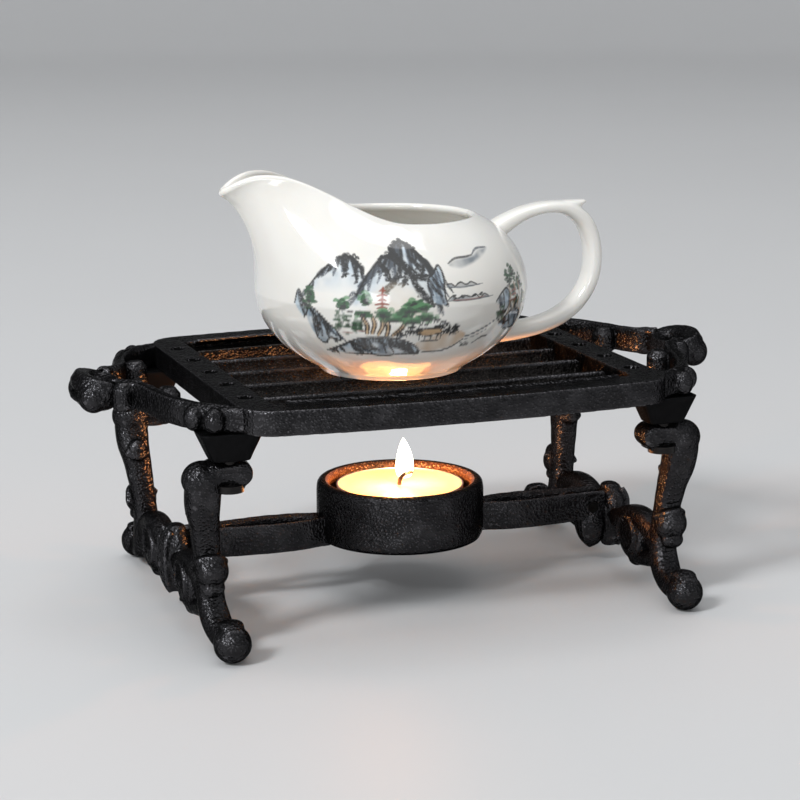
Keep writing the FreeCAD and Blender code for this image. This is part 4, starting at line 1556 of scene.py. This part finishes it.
def nearest_on(start: Array, end: Array, spots: Array) -> tuple[Array, Array]:
    """Find each spot's nearest place on a straight step.

    Args:
        start: Start of the step.
        end: End of the step.
        spots: Places, one in each row.

    Returns:
        Share of the step at which the nearest place lies, and the distance to it.
    """
    step = end - start
    share = np.clip(((spots - start) @ step) / max(step @ step, 1e-9), 0, 1)
    return share, np.linalg.norm(spots - start - share[:, None] * step, axis=1)


class Painting:
    """Ink landscape on the front of the bowl, laid as a colour layer of its mesh.

    Places are millimetres along the belly, rightward from the front, and heights above the foot.
    """

    SEED: int = 7
    CELLS: int = 96
    FRONT: float = 45.0
    DENSITY: float = 0.94
    BLUE: float = 0.8

    def __init__(self, pitcher: Pitcher, layer: str = "painting", girth: float = 38.5) -> None:
        """Start on clean glaze.

        Args:
            pitcher: Bowl to paint on.
            layer: Name of the colour layer.
            girth: Radius that turns angles round the bowl into millimetres.
        """
        self.pitcher = pitcher
        self.layer = layer
        self.girth = girth
        self.chance = np.random.default_rng(self.SEED)
        self.lattice = self.chance.random((self.CELLS, self.CELLS))
        self.spots = np.empty((0, 2))
        self.colours = np.empty((0, 3))

    def grain(self, spots: Array, size: float) -> Array:
        """Soft random field from 0 to 1 with lumps of a given size."""
        cell = spots / size + self.CELLS / 2
        base = np.floor(cell).astype(int)
        part = cell - base
        part = part * part * (3 - 2 * part)
        x0, y0 = base[:, 0] % self.CELLS, base[:, 1] % self.CELLS
        x1, y1 = (x0 + 1) % self.CELLS, (y0 + 1) % self.CELLS
        low = self.lattice[x0, y0] * (1 - part[:, 0]) + self.lattice[x1, y0] * part[:, 0]
        high = self.lattice[x0, y1] * (1 - part[:, 0]) + self.lattice[x1, y1] * part[:, 0]
        return low * (1 - part[:, 1]) + high * part[:, 1]

    def near(self, points: Array, margin: float) -> Array:
        """Indices of the spots in the box of some points."""
        low, high = points.min(axis=0) - margin, points.max(axis=0) + margin
        return np.flatnonzero(((self.spots > low) & (self.spots < high)).all(axis=1))

    def lay_on(self, index: Array, alpha: Array, ink: Ink) -> None:
        """Lay one colour over the spots."""
        alpha = np.clip(alpha, 0, 1)[:, None]
        self.colours[index] = self.colours[index] * (1 - alpha) + np.array(ink.value) * alpha

    def stroke(self, points: Sequence[Row], width: float, ink: Ink, strength: float = 0.9,
               blunt: float = 0.0, dry: float = 0.15) -> None:
        """Draw a brush stroke.

        Args:
            points: Places the brush passes.
            width: Greatest half width.
            ink: Colour.
            strength: Cover of the ink.
            blunt: 0 tapers both ends to nothing, 1 keeps the full width.
            dry: How much the bristles leave bare.
        """
        line = smooth_rows(points, 5)
        index = self.near(line, width + 0.3)
        if not len(index):
            return
        spots = self.spots[index]
        best = np.full(len(index), 1e9)
        place = np.zeros(len(index))
        for number in range(len(line) - 1):
            t, gap = nearest_on(line[number], line[number + 1], spots)
            closer = gap < best
            best = np.where(closer, gap, best)
            place = np.where(closer, (number + t) / (len(line) - 1), place)
        swell = blunt + (1 - blunt) * np.sin(np.pi * np.clip(place * 0.9 + 0.06, 0, 1)) ** 0.7
        half = width * 1.25 * swell + 0.06
        alpha = 1 - ease(0.55, 1.25, best / np.maximum(half, 0.05))
        bare = dry * ease(0.5, 0.75, self.grain(spots, 0.35))
        self.lay_on(index, alpha * min(1.0, strength * 1.12) * (1 - bare), ink)

    def wash(self, outline: Sequence[Row], ink: Ink, strength: float, soft: float = 0.8,
             fade: Callable[[Array], Array] | None = None) -> None:
        """Fill an outline with thin colour.

        Args:
            outline: Corners of the area.
            ink: Colour.
            strength: Cover of the ink.
            soft: Width of the soft edge.
            fade: Function of the spots that scales the cover.
        """
        line = smooth_rows(outline, 4, closed=True)
        index = self.near(line, soft)
        if not len(index):
            return
        spots = self.spots[index]
        following = np.roll(line, -1, axis=0)
        inside = np.zeros(len(index), dtype=bool)
        gap = np.full(len(index), 1e9)
        for start, end in zip(line, following):
            crosses = (start[1] > spots[:, 1]) != (end[1] > spots[:, 1])
            rise = end[1] - start[1] if abs(end[1] - start[1]) > 1e-9 else 1e-9
            edge = (end[0] - start[0]) * (spots[:, 1] - start[1]) / rise + start[0]
            inside ^= crosses & (spots[:, 0] < edge)
            gap = np.minimum(gap, nearest_on(start, end, spots)[1])
        depth = np.where(inside, gap, -gap)
        alpha = ease(-0.25 * soft, soft, depth) * strength * (0.45 + 0.8 * self.grain(spots, 2.2))
        if fade:
            alpha = alpha * fade(spots)
        self.lay_on(index, alpha, ink)

    def dabs(self, centre: Row, spread: Row, count: int, size: float, ink: Ink,
             strength: float = 0.85) -> None:
        """Scatter short dabs round a place."""
        for _ in range(count):
            x = centre[0] + spread[0] * self.chance.normal() * 0.5
            y = centre[1] + spread[1] * self.chance.normal() * 0.5
            reach = size * self.chance.uniform(0.5, 1.3)
            lift = self.chance.uniform(-0.5, 0.5) * reach
            self.stroke([(x - reach, y - lift), (x, y + 0.2 * reach), (x + reach, y + lift)], size * 0.62,
                        ink, strength * self.chance.uniform(0.7, 1.0), 0.3)

    def scrub(self, points: Sequence[Row], count: int, spread: float, size: float) -> None:
        """Dot dark growth along a line."""
        line = smooth_rows(points, 6)
        for _ in range(count):
            x, y = line[self.chance.integers(0, len(line))]
            self.dabs((x, y), (spread, spread), 1, size, Ink.BLACK, 0.95)

    def mountain(self, ridge: Sequence[Row], base: float, folds: int, length: float) -> None:
        """Paint a peak with a dark ridge, folds that run down from it and a blue body that fades out.

        Args:
            ridge: Places along the ridge from left to right.
            base: Height at which the wash has faded out.
            folds: Number of folds.
            length: Length of the longest folds.
        """
        line = smooth_rows(ridge, 8)

        def below(spots: Array) -> Array:
            """Cover of the wash: full at the ridge, nothing at the base."""
            top = np.interp(spots[:, 0], line[:, 0], line[:, 1])
            return np.clip((spots[:, 1] - base) / np.maximum(top - base, 0.5), 0, 1) ** 0.8

        body = [tuple(point) for point in line[::6]] + [(line[-1, 0], base), (line[0, 0], base)]
        self.wash(body, Ink.BLUE, self.BLUE, 1.0, below)
        self.wash(body, Ink.GREY, 0.45 * self.BLUE, 1.6,
                  lambda spots: below(spots) ** 2 * ease(0.45, 0.8, self.grain(spots, 1.6)))
        top = line[:, 1].max()
        for number in range(folds):
            place = (number + 0.5 * self.chance.random()) / folds
            start = line[int(place * (len(line) - 1))]
            height = (start[1] - base) / max(top - base, 0.5)
            lean = (place - 0.45) * 1.6 + self.chance.normal() * 0.22
            reach = length * (0.35 + 0.65 * height) * self.chance.uniform(0.5, 1.0)
            path = [(start[0], start[1] - 0.1)]
            for step in (0.3, 0.6, 1.0):
                path.append((start[0] + lean * reach * step + 0.25 * self.chance.normal(),
                             start[1] - reach * step + 0.25 * self.chance.normal()))
            self.stroke(path, self.chance.uniform(0.3, 0.8), Ink.SLATE, 0.8, 0.1, 0.4)
            if self.chance.random() < 0.9:
                self.stroke([(x + 0.3, y) for x, y in path[:3]], self.chance.uniform(0.2, 0.55), Ink.BLACK,
                            1.0, 0.2, 0.15)
        self.stroke(ridge, 0.30, Ink.BLACK, 0.95, 0.5, 0.15)
        for point in line[::3]:
            if (point[1] - base) / (top - base) > 0.72:
                self.dabs((point[0], point[1] - 0.2), (0.8, 0.8), 4, 0.45, Ink.BLACK, 0.95)

    def rock(self, outline: Sequence[Row], strokes: int, dark: float) -> None:
        """Paint a rock with a blue body, an ink outline and dark folds.

        Args:
            outline: Corners from the left foot over the top to the right foot.
            strokes: Number of folds.
            dark: Cover of the grey body.
        """
        self.wash(outline, Ink.BLUE, 0.85, 0.5)
        self.wash(outline, Ink.SLATE, dark, 1.2, lambda spots: ease(0.35, 0.7, self.grain(spots, 1.5)))
        points = np.array(outline, dtype=float)
        low = points[:, 1].min()
        for _ in range(strokes):
            number = self.chance.integers(0, len(points) - 1)
            share = self.chance.random()
            start = points[number] * (1 - share) + points[number + 1] * share
            drop = (start[1] - low) * self.chance.uniform(0.4, 0.95)
            slant = self.chance.uniform(0.1, 0.8) * drop
            self.stroke([tuple(start), (start[0] + slant * 0.3, start[1] - drop * 0.5),
                         (start[0] + slant, start[1] - drop)], self.chance.uniform(0.2, 0.55),
                        Ink.BLACK if self.chance.random() < 0.7 else Ink.SLATE, 0.95, 0.15, 0.25)
        self.stroke(outline, 0.24, Ink.BLACK, 0.9, 0.5, 0.2)

    def far_shores(self) -> None:
        """Paint the cloud bank and the low islands on the right."""
        bank = [(4.5, 35.3), (7.0, 36.9), (11.0, 37.2), (14.5, 37.6), (17.5, 38.8), (22.5, 38.9),
                (18.0, 36.7), (12.5, 35.0), (8.0, 34.2)]
        self.wash(bank, Ink.GREY, 0.85, 0.9)
        for path, *brush in (([(4.6, 35.8), (7.4, 37.0), (11.5, 37.2), (14.0, 37.5)], 0.22, Ink.BLACK, 0.8,
                              0.3),
                             ([(14.0, 37.6), (17.0, 38.9), (21.5, 38.9)], 0.20, Ink.SLATE, 0.8, 0.3)):
            self.stroke(path, *brush)
        for y, start, end, tall in ((29.7, 3.2, 12.5, 1.1), (26.0, 2.6, 16.0, 1.3)):
            humps = [(x, y + tall * abs(math.sin(x * 0.9 + y))
                      * (1 - ((x - start) / (end - start) - 0.4) ** 2))
                     for x in np.linspace(start, end, 10)]
            self.wash(humps + [(end, y - 0.2), (start, y - 0.2)], Ink.GREY, 0.7, 0.4)
            self.stroke(humps, 0.17, Ink.BLACK, 0.85, 0.4)
            self.stroke([(start - 0.5, y), ((start + end) / 2, y - 0.25), (end + 2.0, y + 0.1)], 0.14,
                        Ink.SLATE, 0.8)
        for x in (4.6, 7.0, 11.0, 13.2):
            self.dabs((x, 26.8), (0.7, 0.6), 5, 0.32, Ink.BLACK, 0.85)
        self.stroke([(4.0, 26.1), (9.0, 25.9), (15.0, 26.3)], 0.16, Ink.RUST, 0.45)

    def left_bank(self) -> None:
        """Paint the steep rock on the left with its conifer and shrubs."""
        self.rock([(-41.5, 24.6), (-40.2, 28.5), (-38.6, 26.4), (-36.8, 23.6), (-38.6, 20.8)], 5, 0.4)
        self.rock([(-37.8, 21.2), (-36.4, 24.2), (-33.8, 22.6), (-31.2, 20.0), (-28.6, 17.6), (-28.0, 14.8),
                   (-31.0, 15.4), (-33.4, 13.4), (-35.6, 15.0)], 12, 0.45)
        for fold in ([(-36.2, 23.6), (-34.0, 20.0), (-33.6, 15.6)],
                     [(-33.6, 22.0), (-31.4, 18.6), (-31.6, 15.8)],
                     [(-40.0, 27.6), (-38.8, 24.4), (-38.2, 21.4)],
                     [(-35.4, 21.0), (-34.8, 17.8), (-35.4, 15.4)]):
            self.stroke(fold, 0.75, Ink.BLACK, 0.9, 0.15, 0.35)
        self.dabs((-36.2, 26.6), (1.5, 2.8), 44, 0.62, Ink.GREEN, 0.85)
        self.dabs((-36.3, 25.8), (1.2, 2.4), 12, 0.42, Ink.BLACK, 0.75)
        for x, tall in ((-27.6, 3.6), (-25.4, 3.9), (-23.4, 2.6), (-21.6, 2.0)):
            self.dabs((x, 18.2 + tall * 0.5), (1.0, tall * 0.75), 15, 0.52, Ink.GREEN, 0.8)
            self.dabs((x + 0.3, 18.0 + tall * 0.4), (0.8, tall * 0.6), 7, 0.36, Ink.BLACK, 0.6)
        self.stroke([(-28.8, 17.7), (-25.0, 17.4), (-20.4, 17.9)], 0.16, Ink.RUST, 0.5)

    def grove(self) -> None:
        """Paint the rust pine, the green grove and its bent trunks."""
        self.wash([(-19.5, 21.0), (-18.0, 30.0), (-11.0, 32.0), (-5.0, 28.0), (-4.0, 20.0)], Ink.PEACH,
                  0.35, 2.5)
        self.stroke([(-15.3, 23.5), (-15.4, 27.0), (-15.2, 30.4)], 0.25, Ink.RUST, 0.95, 0.4)
        for y, reach in ((29.6, 0.8), (28.3, 1.4), (27.0, 1.1), (25.9, 1.9), (24.9, 1.4)):
            self.stroke([(-15.3 - reach, y - 0.3), (-15.3, y), (-15.3 + reach * 0.9, y - 0.25)], 0.26,
                        Ink.RUST, 0.85, 0.2)
        for foot, top in (((-19.8, 17.2), (-20.9, 22.2)), ((-16.6, 17.0), (-15.6, 22.0)),
                          ((-14.2, 16.8), (-15.0, 22.4)), ((-12.6, 16.6), (-9.0, 21.4)),
                          ((-18.2, 17.4), (-18.4, 22.8))):
            middle = ((foot[0] + top[0]) / 2 + 0.8, (foot[1] + top[1]) / 2)
            self.stroke([foot, middle, top], 0.55, Ink.TAN, 0.9, 0.5)
            for shift in (-0.45, 0.45):
                self.stroke([(foot[0] + shift, foot[1]), (middle[0] + shift, middle[1]),
                             (top[0] + shift, top[1])],
                            0.15, Ink.BLACK, 0.9, 0.4)
        for x, y, wide, tall in ((-26.0, 25.4, 1.6, 1.3), (-20.6, 23.0, 2.4, 0.9), (-19.8, 27.0, 1.0, 1.6),
                                 (-14.8, 22.9, 2.4, 1.3), (-9.6, 22.6, 2.2, 1.1), (-6.6, 25.8, 2.6, 1.1),
                                 (-4.4, 24.6, 2.6, 1.0), (-8.4, 23.9, 3.0, 0.8), (-3.8, 21.6, 3.2, 0.8),
                                 (-7.4, 20.8, 2.8, 0.7), (-12.4, 21.3, 2.0, 0.7)):
            self.dabs((x, y), (wide, tall), 18, 0.70, Ink.LEAF, 0.8)
            self.dabs((x, y - 0.2), (wide * 0.95, tall * 0.8), 26, 0.56, Ink.GREEN, 0.95)
            self.dabs((x, y - 0.5), (wide * 0.7, tall * 0.5), 11, 0.38, Ink.BLACK, 0.85)
        self.stroke([(-28.2, 24.6), (-24.6, 23.6), (-21.6, 22.8)], 0.15, Ink.BLACK, 0.8)

    def shore(self) -> None:
        """Paint the outlined stones, the small roof and the tan shore."""
        self.wash([(-6.0, 14.2), (0.0, 16.4), (6.5, 17.2), (9.6, 15.8), (7.5, 12.8), (1.0, 11.2),
                   (-4.0, 11.6)],
                  Ink.TAN, 0.70, 0.6)
        self.stroke([(-4.6, 11.4), (0.5, 10.9), (5.5, 11.9), (9.4, 14.4)], 0.22, Ink.BLACK, 0.85, 0.3)
        for _ in range(52):
            x = self.chance.uniform(-11.0, 6.0)
            y = 16.0 + self.chance.uniform(0.2, 4.4) * (1 - ((x + 1.0) / 11.0) ** 2)
            r = self.chance.uniform(0.45, 1.0)
            arc = [(x + r * math.cos(a), y + 0.8 * r * math.sin(a)) for a in np.linspace(0.2, 3.4, 6)]
            self.stroke(arc, 0.16, Ink.BLACK, 0.95, 0.5)
            if self.chance.random() < 0.6:
                self.dabs((x, y - 0.3), (0.3, 0.3), 1, 0.26, Ink.SLATE, 0.7)
        roof = [(-5.6, 16.7), (-4.0, 18.2), (0.6, 18.4), (1.6, 17.0), (-2.0, 16.2)]
        self.wash(roof, Ink.TAN, 0.95, 0.2)
        for start, end in zip(roof, roof[1:] + roof[:1]):
            self.stroke([start, ((start[0] + end[0]) / 2, (start[1] + end[1]) / 2), end], 0.13, Ink.BLACK,
                        0.85, 0.7)
        for x in (-5.0, -3.4, -1.6, 0.2, 1.3):
            self.stroke([(x, 16.6), (x, 15.6), (x, 14.9)], 0.11, Ink.BLACK, 0.8, 0.7)
        for path, *brush in (([(-5.4, 14.9), (-1.6, 14.5), (1.6, 14.9)], 0.12, Ink.BLACK, 0.8, 0.5),
                             ([(8.6, 14.8), (12.0, 15.6), (16.5, 17.2), (20.5, 19.0)], 0.16, Ink.SLATE,
                              0.85, 0.3),
                             ([(9.6, 14.0), (13.5, 14.9), (18.0, 16.6)], 0.12, Ink.SLATE, 0.6, 0.3)):
            self.stroke(path, *brush)
        self.dabs((10.0, 12.7), (1.7, 0.9), 12, 0.42, Ink.BLACK, 0.8)
        for path, *brush in (([(14.5, 13.2), (16.5, 14.0), (18.6, 14.2)], 0.24, Ink.BLACK, 0.85),
                             ([(13.0, 12.2), (14.4, 12.9), (15.4, 12.8)], 0.16, Ink.SLATE, 0.8)):
            self.stroke(path, *brush)

    def near_rock(self) -> None:
        """Paint the long dark rock in front."""
        self.rock([(-34.0, 11.0), (-30.6, 12.0), (-27.0, 13.6), (-22.0, 15.6), (-17.0, 15.9), (-12.4, 15.8),
                   (-8.4, 14.6), (-5.4, 12.6), (-4.8, 10.6), (-9.0, 10.8), (-15.0, 10.2), (-21.0, 10.6),
                   (-28.0, 10.8)],
                  26, 0.85)
        for _ in range(16):
            x, drop = self.chance.uniform(-25.0, -8.0), self.chance.uniform(1.4, 4.0)
            top = 15.6 - 0.022 * (x + 17.0) ** 2
            self.stroke([(x, top), (x + 0.3 * drop, top - 0.6 * drop), (x + 0.9 * drop, top - drop)],
                        self.chance.uniform(0.25, 0.7), Ink.BLACK, 0.85, 0.1, 0.4)
        for path, *brush in (([(-24.0, 14.2), (-19.0, 15.2), (-13.0, 14.6), (-9.4, 12.6)], 0.8, Ink.BLACK,
                              0.7, 0.1, 0.6),
                             ([(-33.0, 11.3), (-27.6, 13.2), (-24.6, 14.4), (-21.6, 12.6)], 0.3, Ink.BLACK,
                              0.9, 0.2)):
            self.stroke(path, *brush)

    def right_crag(self) -> None:
        """Paint the crag and the trees that run round the bowl's right side."""
        self.rock([(19.2, 24.2), (21.6, 26.2), (24.6, 27.2), (26.0, 23.0), (23.0, 20.0), (21.0, 22.4)], 7,
                  0.8)
        self.rock([(22.0, 17.0), (25.0, 19.4), (29.0, 20.6), (34.0, 19.0), (36.0, 15.5), (30.0, 14.6),
                   (25.0, 15.6)], 10, 0.7)
        for x, y in ((22.4, 20.4), (26.0, 29.6), (27.6, 26.0), (29.6, 23.0), (31.8, 28.0), (34.0, 24.0),
                     (28.6, 31.2)):
            self.dabs((x, y), (1.5, 2.2), 16, 0.60, Ink.GREEN, 0.85)
            self.dabs((x + 0.2, y - 0.4), (1.3, 1.9), 11, 0.42, Ink.BLACK, 0.8)
        for x, y in ((25.6, 19.6), (28.4, 20.4), (31.2, 20.8)):
            self.stroke([(x, y), (x + 0.5, y + 4.0), (x + 0.2, y + 8.0)], 0.22, Ink.BARK, 0.9, 0.4)
        for y in (23.4, 24.8, 26.0):
            self.stroke([(26.6, y), (28.2, y + 0.3), (29.8, y)], 0.2, Ink.RUST, 0.8)
        self.stroke([(20.5, 19.0), (23.0, 17.6), (27.0, 17.2)], 0.26, Ink.BLACK, 0.85)

    def lay(self, bowl: Piece) -> None:
        """Paint the whole landscape onto the bowl's mesh."""
        mesh = bowl.data
        points = mesh_arrays(mesh)[0]
        x, y = points[:, 0] - self.pitcher.centre_x, points[:, 1]
        spots = np.column_stack([np.arctan2(x, -y) * self.girth, points[:, 2] - self.pitcher.base])
        outside = np.arange(len(points)) < self.pitcher.outer_count
        front = np.flatnonzero(outside & (np.abs(spots[:, 0]) < self.FRONT))
        self.spots = spots[front]
        self.colours = np.ones((len(front), 3))
        self.mountain([(-37.6, 28.6), (-33.6, 33.6), (-30.6, 36.4), (-27.6, 38.2), (-24.6, 37.8),
                       (-22.4, 36.0), (-20.9, 32.6)], 28.0, 12, 5.0)
        self.mountain([(-22.4, 28.0), (-20.0, 33.0), (-17.0, 37.0), (-14.6, 38.4), (-12.6, 38.9),
                       (-12.9, 40.6), (-10.6, 41.9), (-8.0, 41.3), (-5.4, 39.6), (-3.2, 37.0), (-1.6, 33.6),
                       (-0.8, 29.0), (-0.2, 25.0)],
                      24.0, 34, 8.5)
        for fold, weight in (([(-13.4, 38.0), (-10.2, 36.8), (-7.0, 34.2), (-4.4, 32.6), (-2.2, 33.0)], 0.9),
                             ([(-11.0, 38.6), (-10.4, 34.6), (-12.6, 31.0), (-14.8, 29.2)], 0.75),
                             ([(-9.4, 36.2), (-8.6, 33.0), (-9.8, 30.4)], 0.6),
                             ([(-7.6, 34.0), (-5.6, 30.0), (-3.2, 27.0), (-1.4, 24.8)], 0.85),
                             ([(-17.0, 36.8), (-14.2, 34.4), (-13.0, 31.6)], 0.6),
                             ([(-6.6, 37.6), (-4.6, 35.4), (-3.6, 33.2)], 0.6),
                             ([(-28.0, 38.0), (-26.6, 35.6), (-25.8, 33.0)], 0.55),
                             ([(-24.8, 37.6), (-23.2, 34.6), (-22.4, 31.6)], 0.5)):
            self.stroke(fold, weight, Ink.BLACK, 0.95, 0.15, 0.35)
            self.scrub(fold, int(26 * weight), 1.1, 0.42)
        self.rock([(-1.6, 26.0), (-2.6, 31.6), (-0.6, 33.6), (1.2, 35.6), (2.2, 33.0), (2.0, 28.0),
                   (2.6, 25.0)], 7, 0.45)
        self.far_shores()
        self.right_crag()
        self.left_bank()
        self.grove()
        self.shore()
        self.near_rock()
        colours = np.ones((len(points), 4))
        soaked = 1 - (1 - self.colours) * self.DENSITY
        colours[front, :3] = soaked
        attribute = mesh.color_attributes.new(self.layer, "FLOAT_COLOR", "POINT")
        attribute.data.foreach_set("color", colours.ravel())


# ---------------------------------------------------------------- studio


@dataclass
class Studio:
    """Floor, backdrop, lights and camera."""

    camera_place: Row = (-222.5, -622.5, 201.2)
    camera_yaw: float = 19.68
    camera_pitch: float = 12.37
    camera_roll: float = -0.23
    lens: float = 102.5
    sensor: float = 36.0
    radius: float = 3200.0
    height: float = 2600.0
    flat_share: float = 0.7
    candle_power: float = 0.065
    candle_colour: Row = (1.0, 0.44, 0.15)
    glow_power: float = 0.08
    glow_colour: Row = (1.0, 0.36, 0.11)
    room_colour: Row = (0.95, 0.97, 1.0)
    room_strength: float = 0.52

    def build_camera(self) -> None:
        """Place the camera at the set's viewing angle."""
        yaw, pitch = math.radians(self.camera_yaw), math.radians(self.camera_pitch)
        ahead = Vector((math.sin(yaw) * math.cos(pitch), math.cos(yaw) * math.cos(pitch), -math.sin(pitch)))
        data = bpy.data.cameras.new("camera")
        data.lens = self.lens
        data.sensor_width = self.sensor
        data.clip_start, data.clip_end = 0.01, 50.0
        camera = bpy.data.objects.new("camera", data)
        turn = ahead.to_track_quat("-Z", "Y").to_matrix().to_4x4()
        roll = Matrix.Rotation(math.radians(self.camera_roll), 4, "Z")
        camera.matrix_world = Matrix.Translation(Vector(self.camera_place) * MM) @ turn @ roll
        bpy.context.scene.collection.objects.link(camera)
        bpy.context.scene.camera = camera

    def build_card(self) -> None:
        """Make the round floor that curves up into the backdrop."""
        r, flat = self.radius, self.radius * self.flat_share
        profile = [(0.0, 0.0), (r * 0.25, 0.0), (r * 0.5, 0.0), (flat, 0.0)]
        for step in range(1, 9):
            a = math.pi / 2 * step / 8
            profile.append((flat + r * 0.3 * math.sin(a), r * 0.3 * (1 - math.cos(a))))
        profile.append((r, self.height))
        points, faces = turned(profile, 96, 3)
        card = make_object("card", points, faces)
        card.data.materials.append(PaleCard().build("pale_card"))

    def softbox(self, name: str, place: Row, aim: Row, size: tuple[float, float], power: float,
                colour: Row = (1.0, 1.0, 1.0)) -> None:
        """Hang a rectangular light.

        Args:
            name: Name of the light.
            place: Where it hangs, in millimetres.
            aim: Point that it faces.
            size: Width and height.
            power: Watts.
            colour: Tint.
        """
        data = bpy.data.lights.new(name, "AREA")
        data.shape = "RECTANGLE"
        data.size, data.size_y = size[0] * MM, size[1] * MM
        data.energy = power
        data.color = colour
        lamp = bpy.data.objects.new(name, data)
        start, end = Vector(place) * MM, Vector(aim) * MM
        lamp.matrix_world = Matrix.Translation(start) @ (end - start).to_track_quat("-Z",
                                                                                    "Y").to_matrix().to_4x4()
        bpy.context.scene.collection.objects.link(lamp)

    def build_lights(self, flame_height: float) -> None:
        """Hang the softboxes and put the candle's light in its flame."""
        self.softbox("window", (-2000.0, -1000.0, 1900.0), (0.0, 0.0, 60.0), (560.0, 700.0), 52.0,
                     (0.95, 0.975, 1.0))
        self.softbox("top", (0.0, 100.0, 2000.0), (0.0, 0.0, 0.0), (1300.0, 1300.0), 11.0)
        self.softbox("low_fill", (-1300.0, -2300.0, 700.0), (0.0, 0.0, 60.0), (900.0, 700.0), 9.0,
                     (0.97, 0.98, 1.0))
        candle = bpy.data.lights.new("candle", "POINT")
        candle.energy = self.candle_power
        candle.color = self.candle_colour
        candle.shadow_soft_size = 3.0 * MM
        lamp = bpy.data.objects.new("candle", candle)
        lamp.location = Vector((2.0, 0.0, flame_height)) * MM
        bpy.context.scene.collection.objects.link(lamp)
        lamp.parent = frame["bodies"]["tealight"]
        for side in Side:
            self.softbox("side_glow_" + side.tag, (side.value * 2.0, 0.0, flame_height),
                         (side.value * 70.0, 0.0, 22.0), (7.0, 11.0), self.glow_power, self.glow_colour)
            bpy.data.objects["side_glow_" + side.tag].parent = frame["bodies"]["tealight"]

    def build_world(self) -> None:
        """Fill the room with soft pale light."""
        world = bpy.data.worlds.new("room")
        bpy.context.scene.world = world
        world.use_nodes = True
        backdrop = world.node_tree.nodes["Background"]
        backdrop.inputs["Color"].default_value = (*self.room_colour, 1.0)
        backdrop.inputs["Strength"].default_value = self.room_strength

    def build(self, flame_height: float) -> None:
        """Set the studio up."""
        bpy.context.scene.view_settings.view_transform = "Standard"
        self.build_camera()
        self.build_card()
        self.build_lights(flame_height)
        self.build_world()


def main() -> None:
    """Build every piece, dress it and set the studio up."""
    logging.basicConfig(level=logging.INFO, format="%(name)s %(message)s")
    iron = SandCastIron().build("sand_cast_iron")
    plain = PlainIron().build("plain_iron")
    steel = BlackenedSteel().build("blackened_steel")
    foil = DrawnFoil().build("drawn_foil")
    # Painted shade: a darker copy of the iron for the walls between the bars.
    shaded = SandCastIron(dark=(0.011, 0.010, 0.010), light=(0.100, 0.092, 0.086)).build("shaded_iron")
    # Painted shade: a much darker iron for the rim's dimples.
    pit = PlainIron(dark=(0.0025, 0.0025, 0.0025), light=(0.005, 0.005, 0.005), rough=0.7).build("pit_iron")
    Grate().build(iron, shaded, pit)
    Handles().build(iron)
    Legs().build(iron, plain)
    Stretchers().build(iron)
    # Painted candle light: the inside of the cup takes the warm candle-lit iron.
    CandleHolder().build(iron, CandleLitIron().build("sooted_iron"))
    light = Tealight()
    low, high = light.flame_span()
    light.build(foil, GlowingWax().build("glowing_wax"),
                CharredWick().build("charred_wick", light.wick.high.z, light.wax.high.z),
                FlameGlow().build("flame_glow", low, high))
    glaze = Glaze()
    Pitcher().build(glaze.build("painted_glaze", True), glaze.build("plain_glaze", False))
    for node, finish in (("leg_screws", steel), ("arm_pins", steel), ("wick_tab", foil)):
        materials = frame["nodes"][node].data.materials
        materials.clear()
        materials.append(finish)
    Studio().build((low + high) / 2)


if __name__ == "__main__":
    main()
